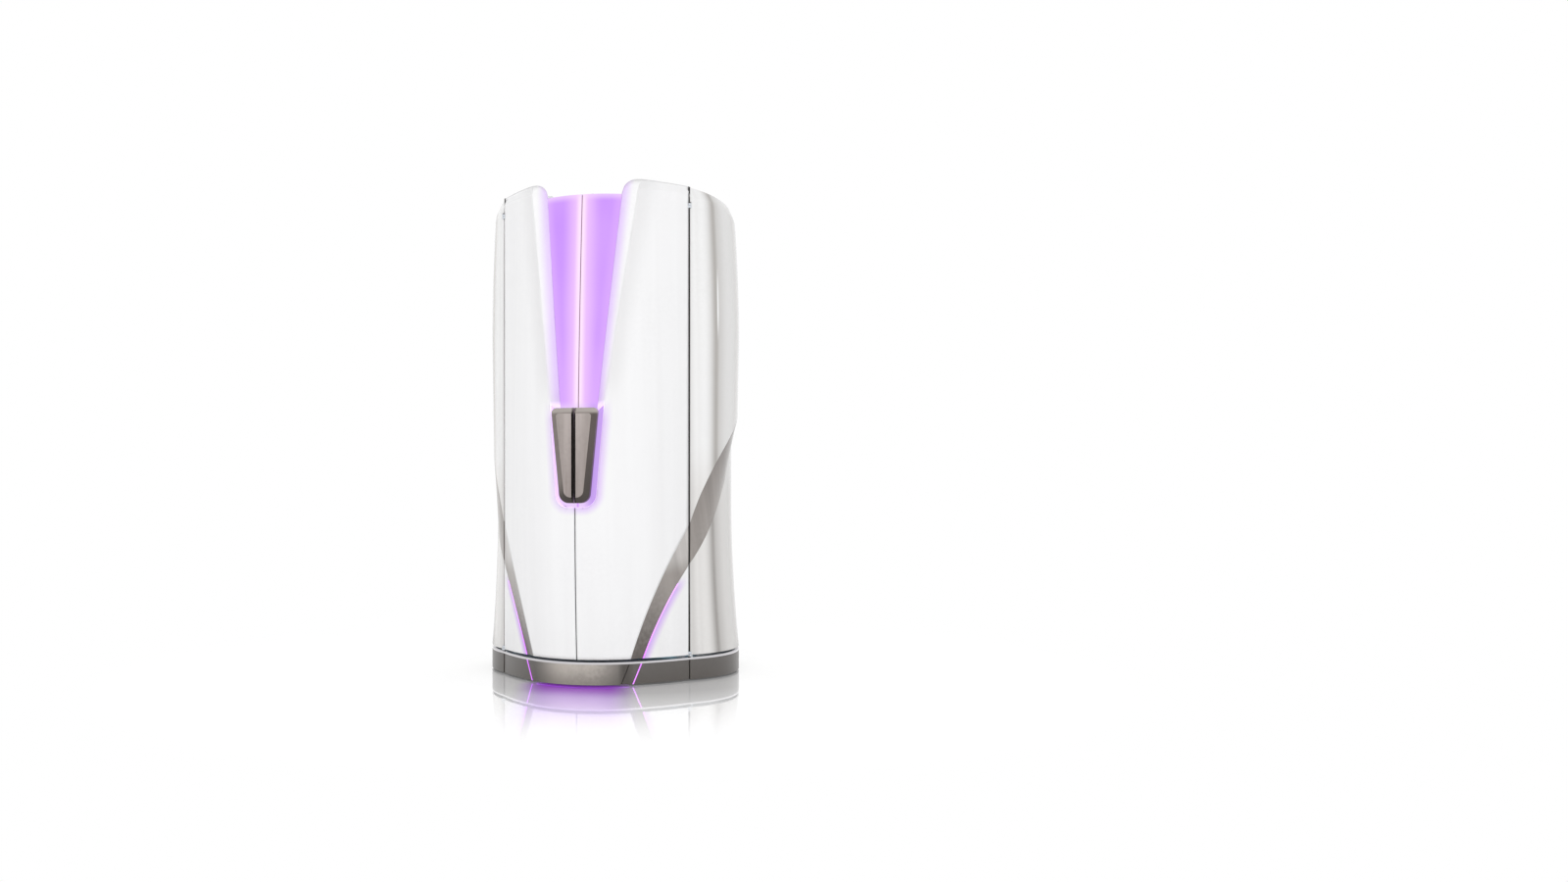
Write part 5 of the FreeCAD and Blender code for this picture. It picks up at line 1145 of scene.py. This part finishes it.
both_sides("side_upper_skin", side_sheet(high_z + 0.001, side_edge(wall_y), upper_half, 60, 1.0),
           "side_white_reflections", "white_shell", WALL, "side_shells_upper")
both_sides("side_lower_skin", side_sheet(np.full(len(wall_y), shell_low), low_z - 0.001, lower_half, 40),
           "side_white_reflections", "white_shell", WALL, "side_shells_lower")
both_sides("side_ramp_skin", side_ramp_sheet(), "ramp_taupe", "taupe_trim", 0.005, "side_ramps")

# %% [markdown]
# A black seal stands behind the gap between door and side, and another runs down each
# door's edge at the seam. They are plain strips, and without them the gaps would let the
# lit cabin show through as pale lines.

# %% Seals behind the gaps
SEAL_LOW, SEAL_HALF, SEAL_START, SEAL_DEPTH = 0.010, 0.0046, 0.0033, 0.0062
SEAM_WALL_X, FRAME_FRONT, SEAM_STEP = 0.0042, -0.4565, WELL_LOW - 0.0025


def gap_seal():
    """Angle strip in the hinge gap: down the side shell's edge, then across behind the gap.
    In plan its corners lie along and across the wall; in height it is straight."""
    wall = np.array([1.0, 2 * (WAIST_DEPTH - hinge_y) / hinge_x])
    wall /= np.hypot(*wall)
    inwards = np.array([-wall[1], wall[0]])
    corners = np.array([[SEAL_HALF, SEAL_START], [SEAL_HALF, SEAL_DEPTH], [-SEAL_HALF, SEAL_DEPTH]])
    plan = np.array([hinge_x, -hinge_y]) + corners[:, :1] * wall + corners[:, 1:] * inwards
    z = np.array([[SEAL_LOW], [side_top - 0.004]])
    return stack(plan[None, ::-1, 0], plan[None, ::-1, 1], z)


def seam_seal(low, high, recess):
    """Strip on the door's edge at the seam, which follows the front from just behind the skin."""
    z = np.linspace(low, high, 40)[:, None]
    back = recess + np.array([0.0, 0.014])[None, :]
    return stack(SKIN_SEAM * 0.6 + 0.0 * (z + back), front_y(0.0, z) + back, z + 0.0 * back)


def seam_wall(low, high, recess):
    """Flat wall on the door's edge at the seam, from the front's depth back to the lamp frame."""
    up, along = share_grid(24, 8)
    z = low + (high - low) * up
    front = front_y(0.0, z) + recess
    return stack(SEAM_WALL_X + 0.0 * z, front + (FRAME_FRONT - front) * along, z)[:, ::-1]


for name, low, high, recess, finish, slot in (
        ("seam_wall", shell_low + 0.002, SEAM_STEP, 0.008, "shell_white", "white_shell"),
        ("lit_seam_wall", SEAM_STEP, panel_top, PANEL_RECESS + 0.005, "seam_violet", "lilac_panel")):
    both_doors(name, [seam_wall(low, high, recess)], finish, slot, wall=0.0015)

piece_from("hinge_gap_seal", [gap_seal(), mirrored(gap_seal())], "seal_dark", "black_rubber", wall=0.0006)
for name, low, high, recess, finish in (
        ("seam_seal", shell_low, WELL_LOW - 0.006, 0.0035, "seal_dark"),
        ("panel_seam_seal", HANDLE_HIGH - 0.02, panel_top - 0.004, 0.047, "seal_mauve")):
    both_doors(name, [seam_seal(low, high, recess)], finish, "black_rubber", wall=0.0008)

# %% [markdown]
# ## Handle
#
# The handle is one tapered bar that the seam cuts in two, so each door carries half. Its
# flat face is paler; the wide bevel round it is painted dark, as shade. Rows follow the
# outline from the seam round to the seam again, and the columns step from the back edge
# over the bevel to the face. The grid ends on the middle line of the face, which closes it.

# %% Handle halves
HANDLE_FRONT = WAIST_DEPTH + 0.024
HANDLE_THICK = 0.034
HANDLE_BEVEL = 0.026


def handle_outline(shrink):
    """Half outline of the bar, drawn in by shrink: down the top edge, the side and the round corner."""
    corner = max(0.046 - 0.5 * shrink, 0.012)
    top = HANDLE_HIGH - shrink
    low = HANDLE_LOW + shrink
    top_x, low_x = 0.110 - shrink, 0.074 - shrink
    top_corner = 0.022 - 0.3 * shrink
    turn = np.linspace(0, np.pi / 2, 9)
    arc_x = low_x - corner + corner * np.cos(turn)
    arc_z = low + corner - corner * np.sin(turn)
    high_x = top_x - top_corner + top_corner * np.sin(turn)
    high_z = top - top_corner + top_corner * np.cos(turn)
    x = np.concatenate([np.linspace(SEAM, high_x[0], 6)[:-1], high_x, arc_x, np.linspace(arc_x[-1], SEAM, 6)[1:]])
    z = np.concatenate([np.full(5, top), high_z, arc_z, np.full(5, low)])
    return x, z


def handle_sheets():
    """Side wall, bevel and face of the half bar, as rings between outlines at their depths."""
    soft = 0.003
    rings = [(0.0, HANDLE_THICK), (0.0, HANDLE_BEVEL * 0.62 + soft), (soft * 0.4, HANDLE_BEVEL * 0.62 - soft),
             (HANDLE_BEVEL * 0.9 - soft, soft * 0.8), (HANDLE_BEVEL * 0.9 + soft, 0.0)]
    rows = []
    for shrink, back in rings:
        x, z = handle_outline(shrink)
        rows.append(stack(x, np.full(len(x), back - HANDLE_FRONT), z))
    edge = np.stack(rows)
    face_x, face_z = handle_outline(HANDLE_BEVEL * 0.9 + soft)
    share = np.linspace(0, 1, 6)[:, None]
    flat_x = face_x + (SEAM - face_x) * share
    face = stack(flat_x, np.full_like(flat_x, -HANDLE_FRONT), face_z * np.ones((6, 1)))
    return edge, face


handle_ring, handle_face = handle_sheets()
for name, sheet, finish in (("door_handle_edge", handle_ring, "handle_edge_shade"),
                            ("door_handle_face", handle_face, "handle_taupe")):
    both_doors(name, [sheet[:, ::-1]], finish, "handle_taupe", "door_handle")

# %% [markdown]
# A flat plate closes each half of the handle at the seam, with four short slots in it for
# the screws that hold the halves. The slots are thin dark blocks, made of six grids each.


# %% Handle plate and slots
def block_sheets(low, high):
    """Six sides of a block between two corners, each a grid that faces outwards."""
    corners = np.array([low, high], float)

    def side(fixed, level, first, second, turned):
        a, b = np.meshgrid([0, 1], [0, 1])
        points = np.zeros((2, 2, 3))
        points[..., fixed] = corners[level, fixed]
        points[..., first] = corners[a, first]
        points[..., second] = corners[b, second]
        return points[:, ::-1] if turned else points

    return [side(0, 0, 1, 2, True), side(0, 1, 1, 2, False), side(1, 0, 0, 2, False),
            side(1, 1, 0, 2, True), side(2, 0, 0, 1, True), side(2, 1, 0, 1, False)]


PLATE_BACK = -0.505


def seam_plate():
    """Flat plate at the seam, from the lamp frame to the face; its ends follow the bar's bevel."""
    depth = np.concatenate([[PLATE_BACK], handle_ring[:, 0, 1]])
    high = np.concatenate([[HANDLE_HIGH - 0.004], handle_ring[:, 0, 2]])
    low = np.concatenate([[HANDLE_LOW + 0.004], handle_ring[:, -1, 2]])
    up, _ = share_grid(2, len(depth))
    return stack(SEAM + 0.0 * up, depth[None], low + (high - low) * up)


both_doors("door_handle_plate", [seam_plate()], "handle_plate", "handle_taupe", "door_handle", wall=WALL - 0.001)

SLOT_LEVELS, SLOT_PAIR, SLOT_HALF = (0.935, 1.185), (-0.600, -0.572), (0.008, 0.0016)
slot_sheets = []
for level in SLOT_LEVELS:
    for spot in SLOT_PAIR:
        slot_sheets += block_sheets((SEAM - 0.0002, spot - SLOT_HALF[0], level - SLOT_HALF[1]),
                                    (SEAM + 0.0010, spot + SLOT_HALF[0], level + SLOT_HALF[1]))
both_doors("door_plate_slot", slot_sheets, "rubber_black", "handle_taupe")

# %% [markdown]
# ## Base band
#
# The band under the shells follows the same plan as the booth. Its middle stands proud
# in front, and violet strips divide it from the sides. A pale line of light runs round
# its upper edge.

# %% Plan of the base
BASE_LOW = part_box("base_front_fascia")[0].z
BASE_TOP = 0.102
BASE_HALF = 0.630
FASCIA_X = 0.230
RAKE = 0.034


def raked(z, top_x=FASCIA_X):
    """Edge of the proud middle, which leans in towards the floor."""
    return top_x - RAKE * (BASE_TOP - z) / (BASE_TOP - BASE_LOW)


def wall_plan(inset, start_turn, end_turn, count):
    """Plan of the base behind the hinge line: ellipse in front of the widest line, circle behind."""
    turn = np.linspace(start_turn, end_turn, count)
    deep = hinge_y / np.sqrt(1 - (hinge_x / BASE_HALF) ** 2)
    reach = np.where(turn > 0, deep, REAR_RADIUS) - inset
    return (BASE_HALF - inset) * np.cos(turn), -reach * np.sin(turn)


split_turn = np.arccos(hinge_x / BASE_HALF)


# %% Band in three parts
def front_fascia():
    """Proud middle of the base band."""
    up, along = share_grid(5, 40)
    z = BASE_LOW + (BASE_TOP - BASE_LOW) * up
    x = raked(z) * (2 * along - 1)
    return stack(x, front_y(x, np.full_like(x, shell_low), -0.0045), z)


def near_fascia():
    """Part of the side band in front of the hinge line, a little set back."""
    up, along = share_grid(5, 20)
    z = BASE_LOW + (BASE_TOP - BASE_LOW) * up
    start = raked(z) + 0.0006
    x = start + (hinge_x - 0.003 - start) * along
    return stack(x, front_y(x, np.full_like(x, shell_low), 0.005), z)


def far_fascia():
    """Side and rear band, from one hinge line round the back to the other."""
    right_x, right_y = wall_plan(0.0003, split_turn - 0.006, -np.pi / 2, 60)
    x = np.concatenate([right_x, -right_x[-2::-1]])
    y = np.concatenate([right_y, right_y[-2::-1]])
    z = np.linspace(BASE_LOW, BASE_TOP, 5)[:, None]
    return stack(x[None], y[None], z)


piece_from("base_front_band", [front_fascia()], "base_taupe", "taupe_trim", node="base_front_fascia", wall=0.014,
           edge=EDGE)
for name, sheets in (("base_side_band", [near_fascia(), mirrored(near_fascia())]),
                     ("base_rear_band", [far_fascia()])):
    piece_from(name, sheets, "base_taupe", "taupe_trim", node="base_side_fascia", wall=0.010, edge=EDGE)


# %% Rim and light under the base
def rim_sheet():
    """Closed profile of the lit rim, carried once round the plan of the base."""
    profile = [(0.014, BASE_TOP), (0.001, BASE_TOP), (0.0, BASE_TOP + 0.001), (0.0, BASE_TOP + 0.006),
               (0.002, BASE_TOP + 0.008), (0.016, BASE_TOP + 0.008)]
    rows = []
    for inset, z in profile:
        x = np.linspace(0, hinge_x, 30)[:-1]
        y = front_y(x, np.full_like(x, shell_low), inset)
        side_x, side_y = wall_plan(inset, split_turn, -np.pi / 2, 60)
        half_x, half_y = np.concatenate([x, side_x]), np.concatenate([y, side_y])
        loop_x = np.concatenate([half_x, -half_x[-2::-1]])
        loop_y = np.concatenate([half_y, half_y[-2::-1]])
        rows.append(stack(loop_x, loop_y, np.full(len(loop_x), z)))
    return np.stack(rows)


piece_from("base_rim_line", [rim_sheet()], "rim_glow", "rim_light", node="base_rim")


UNDER_HALF = 0.225


def under_strip():
    """Narrow violet strip under the front of the base, facing the floor."""
    up, along = share_grid(3, 40)
    x = UNDER_HALF * (2 * along - 1)
    y = front_y(x, np.full_like(x, shell_low), 0.012 + 0.012 * up)
    return stack(x, y, np.full_like(x, BASE_LOW - 0.001))[::-1]


piece_from("base_under_light", [under_strip()], "violet_under", "led")

# %% [markdown]
# ## Rear cover
#
# The back is one curved sheet with a column of louvres. The slots are cells left out of
# the grid, and a slanted blade closes the view through each of them.

# %% Rear cover with louvres
COVER_RADIUS = 0.618
LOUVRE_LOW, LOUVRE_PITCH, LOUVRE_HEIGHT, LOUVRES = 0.300, 0.034, 0.012, 10
LOUVRE_HALF = np.arcsin(0.150 / COVER_RADIUS)
cover_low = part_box("rear_cover")[0].z
end_turn = np.pi / 2 - np.arcsin((SIDE_END + 0.003) / COVER_RADIUS)


def cover_levels():
    """Row heights: every louvre's lower and upper edge, and even steps elsewhere."""
    edges = LOUVRE_LOW + LOUVRE_PITCH * np.arange(LOUVRES)
    slots = np.sort(np.concatenate([edges, edges + LOUVRE_HEIGHT]))
    return np.concatenate([np.linspace(cover_low, LOUVRE_LOW, 5)[:-1], slots,
                           np.linspace(slots[-1], rear_top - CROWN_BAND, 22)[1:],
                           np.linspace(rear_top - CROWN_BAND, rear_top, 4)[1:]])


def ease(share):
    """Smooth step from 0 to 1."""
    share = np.clip(share, 0, 1)
    return share * share * (3 - 2 * share)


def cover_point(turn, z, inset=0.0):
    """Point of the cover: a circle in plan, drawn in at the crown, that eases to the side
    shells' own radius where it meets them; turn counts from the back."""
    half = upper_half(z) + (lower_half(z) - upper_half(z)) * ease((1.33 - z) / 0.09)
    beside = np.hypot(half * np.sqrt(1 - (SIDE_END / REAR_RADIUS) ** 2), SIDE_END)
    pull = (COVER_RADIUS - beside) * ease((np.abs(turn) - 0.45) / (end_turn - 0.45))
    radius = COVER_RADIUS - inset - 0.8 * crown(z, rear_top) - pull
    return stack(-radius * np.sin(turn), radius * np.cos(turn), z)


levels = cover_levels()
side_turns = np.linspace(LOUVRE_HALF, end_turn, 24)
middle_turns = np.linspace(-LOUVRE_HALF, LOUVRE_HALF, 20)
flank = cover_point(side_turns[None, :], levels[:, None])
sheets = [flank, mirrored(flank)]
for number in range(LOUVRES + 1):
    first = 0 if number == 0 else 3 + 2 * number
    last = 5 if number == 0 else (5 + 2 * number if number < LOUVRES else len(levels))
    sheets.append(cover_point(middle_turns[None, :], levels[first:last][:, None]))
piece_from("rear_cover_skin", sheets, "side_white_reflections", "white_shell", node="rear_cover", wall=WALL, edge=EDGE)


def louvre_blades():
    """Slanted blade behind each slot: rows lean inwards and up."""
    lift = np.linspace(-0.004, 0.024, 4)
    blades = []
    for number in range(LOUVRES):
        z = LOUVRE_LOW + LOUVRE_PITCH * number + lift[:, None]
        blades.append(cover_point(middle_turns[None, :], z, (0.0075 + 0.4 * (lift + 0.004))[:, None]))
    return blades


piece_from("rear_louvre_blades", louvre_blades(), "vent_black", "vent_black", wall=0.001)

# %% [markdown]
# ## Lamps
#
# The tubes are lathe work: one profile of radius against height, turned about each
# tube's own axis. Each tube of a group is worked out as one array, with an axis for the
# profile and one for the turn.

# %% Lamp tubes
LAMP_RADIUS = 0.019
LAMP_SIDES = 20
lamp_low, lamp_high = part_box("rear_lamps")[0].z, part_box("rear_lamps")[1].z


def turned(centres, profile, sides=LAMP_SIDES):
    """Profile of (radius, height) turned about upright axes at the given (x, y) centres."""
    turn = np.linspace(0, 2 * np.pi, sides + 1)
    radius, height = np.array(profile, float).T
    sheets = []
    for x, y in centres:
        sheets.append(stack(x + radius[:, None] * np.cos(turn), y + radius[:, None] * np.sin(turn),
                            height[:, None]))
    return sheets


def tube_profiles(low, high):
    """Profiles of the glass and of its two metal caps."""
    cap = 0.022
    glass = [(LAMP_RADIUS - 0.001, low + cap), (LAMP_RADIUS, low + cap + 0.004),
             (LAMP_RADIUS, high - cap - 0.004), (LAMP_RADIUS - 0.001, high - cap)]
    foot = [(0.0, low), (LAMP_RADIUS - 0.001, low), (LAMP_RADIUS - 0.0005, low + 0.002),
            (LAMP_RADIUS - 0.0005, low + cap), (0.010, low + cap)]
    head = [(0.010, high - cap), (LAMP_RADIUS - 0.0005, high - cap),
            (LAMP_RADIUS - 0.0005, high - 0.002), (LAMP_RADIUS - 0.001, high), (0.0, high)]
    return glass, foot, head


def lamp_pieces(name, centres, low, high, body, node):
    """Glass tubes and caps that stand for a node of lamps."""
    glass, foot, head = tube_profiles(low, high)
    caps = turned(centres, foot) + turned(centres, head)
    for part, sheets, finish in (("tubes", turned(centres, glass), "lamp_tube"), ("caps", caps, "steel")):
        piece_from(f"{name}_{part}", sheets, finish, "lamp_glass", body, node)


RAIL_START, RAIL_END = np.radians(27.5), np.radians(80.0)
LAMP_CIRCLE, LAMP_GAP = 0.503, 0.025
end_gap = LAMP_GAP / LAMP_CIRCLE
turns = np.linspace(end_gap - RAIL_START, RAIL_END - end_gap, 17)
rear_centres = [(side * LAMP_CIRCLE * np.cos(turn), LAMP_CIRCLE * np.sin(turn)) for turn in turns for side in (1, -1)]
lamp_pieces("rear_lamp", rear_centres, lamp_low, lamp_high, "cabinet", "rear_lamps")

# %% Lamps of the doors
TILT, DOOR_FACE = np.radians(8.0), -0.385
ROW_START, ROW_WIDTH, ROW_DEPTH, DOOR_LAMPS = 0.012, 0.349, 0.026, 7
door_low, door_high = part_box("door_lamps_right")[0].z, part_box("door_lamps_right")[1].z


def on_door(along, across):
    """Plan of a point given along and across the door frame, which leans from the seam outwards."""
    return (SEAM + along * np.cos(TILT) - across * np.sin(TILT),
            DOOR_FACE + along * np.sin(TILT) + across * np.cos(TILT))


door_x, door_y = on_door(ROW_START + ROW_WIDTH / DOOR_LAMPS * (np.arange(DOOR_LAMPS) + 0.5), -ROW_DEPTH)
for side, sign in (("right", 1), ("left", -1)):
    centres = list(zip(sign * door_x, door_y))
    lamp_pieces(f"door_lamp_{side}", centres, door_low, door_high, f"door_{side}", f"door_lamps_{side}")

# %% Curved reflectors and shields
MIRROR_RADIUS, SCREEN_RADIUS, SCREEN_TOP = 0.5315, 0.4665, 2.258


def curved_wall(radius, low, high):
    """Upright wall round the cabin on the right-hand side; it faces inwards."""
    turn = np.linspace(RAIL_END, -RAIL_START, 48)
    z = np.linspace(low, high, 3)[:, None]
    return stack(radius * np.cos(turn)[None], radius * np.sin(turn)[None], z)


for name, radius, low, high, finish, slot, wall, node in (
        ("rear_mirror", MIRROR_RADIUS, lamp_low + 0.0005, lamp_high - 0.0005, "mirror_sheet", "reflector", 0.002,
         "rear_reflectors"),
        ("rear_screen", SCREEN_RADIUS, BASE_TOP, SCREEN_TOP, "clear_acrylic", "clear_acrylic", 0.0025,
         "rear_shields")):
    sheet = curved_wall(radius, low, high)
    piece_from(name, [sheet, mirrored(sheet)], finish, slot, node=node, wall=wall)

# %% [markdown]
# ## Roof, ring and fan
#
# Round pieces on the roof are turned the same way as the lamps, from a profile. The grab
# ring is a circle carried round a circle, hung on four rods.

# %% Fan housing, ring and rods
ROOF_HIGH = 2.266
housing = [(0.336, ROOF_HIGH), (0.340, ROOF_HIGH), (0.340, 2.309), (0.339, 2.316), (0.336, 2.323), (0.331, 2.329),
           (0.323, 2.333), (0.314, 2.335), (0.156, 2.335), (0.150, 2.332), (0.150, 2.3305), (0.314, 2.331),
           (0.332, 2.318), (0.336, 2.309)]
piece_from("fan_housing_skin", turned([(0, 0)], housing, 96), "holder_white", "white_shell", node="fan_housing")

RING_RADIUS, TUBE_RADIUS, RING_Z, ROD_X = 0.295, 0.008, 2.164, 0.200
tube_turn = np.linspace(0, 2 * np.pi, 17)
ring_profile = np.stack([RING_RADIUS + TUBE_RADIUS * np.cos(tube_turn), RING_Z + TUBE_RADIUS * np.sin(tube_turn)], -1)
rod_y = np.sqrt(RING_RADIUS ** 2 - ROD_X ** 2)
rod_profile = [(0.006, RING_Z), (0.006, 2.246), (0.012, 2.247), (0.012, 2.2515), (0.0, 2.2515)]
rods = turned([(ROD_X, rod_y), (ROD_X, -rod_y), (-ROD_X, rod_y), (-ROD_X, -rod_y)], rod_profile, 16)
piece_from("grab_ring_tube", turned([(0, 0)], ring_profile, 96) + rods, "ring_teal", "ring_teal", node="grab_ring")

# %% [markdown]
# The vents on the doors' tops are black grilles. A dark core closes them, and a row of
# upright ribs stands a little proud of it on every side, so that the light catches their
# edges as it does on a moulded grille.

# %% Door vents
vent_low, vent_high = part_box("door_vent_right")
VENT_START, VENT_END, VENT_RIBS, RIB_WIDTH = 0.262, 0.409, 19, 0.0034


def slab(low, high):
    """Block in the door frame's own directions, as six grids: along it, across it and up."""
    sheets = block_sheets(low, high)
    return [stack(*on_door(sheet[..., 0], sheet[..., 1]), sheet[..., 2]) for sheet in sheets]


def across_door(y, along):
    """How far a point of depth y lies across the door frame, at a place along it."""
    return (y - DOOR_FACE - along * np.sin(TILT)) / np.cos(TILT)


vent_front = across_door(vent_low.y, 0.190)
vent_back = across_door(vent_high.y, 0.410)
vent_sheets = slab((VENT_START, vent_front + 0.003, vent_low.z), (VENT_END, vent_back - 0.003, vent_high.z - 0.004))
for start in np.linspace(VENT_START, VENT_END - RIB_WIDTH, VENT_RIBS):
    vent_sheets += slab((start, vent_front, vent_low.z), (start + RIB_WIDTH, vent_back, vent_high.z - 0.0005))
both_doors("door_vent", vent_sheets, "vent_black", "vent_black", "door_vent", edge=EDGE)
print("vent across the frame from", vent_front, "to", vent_back)
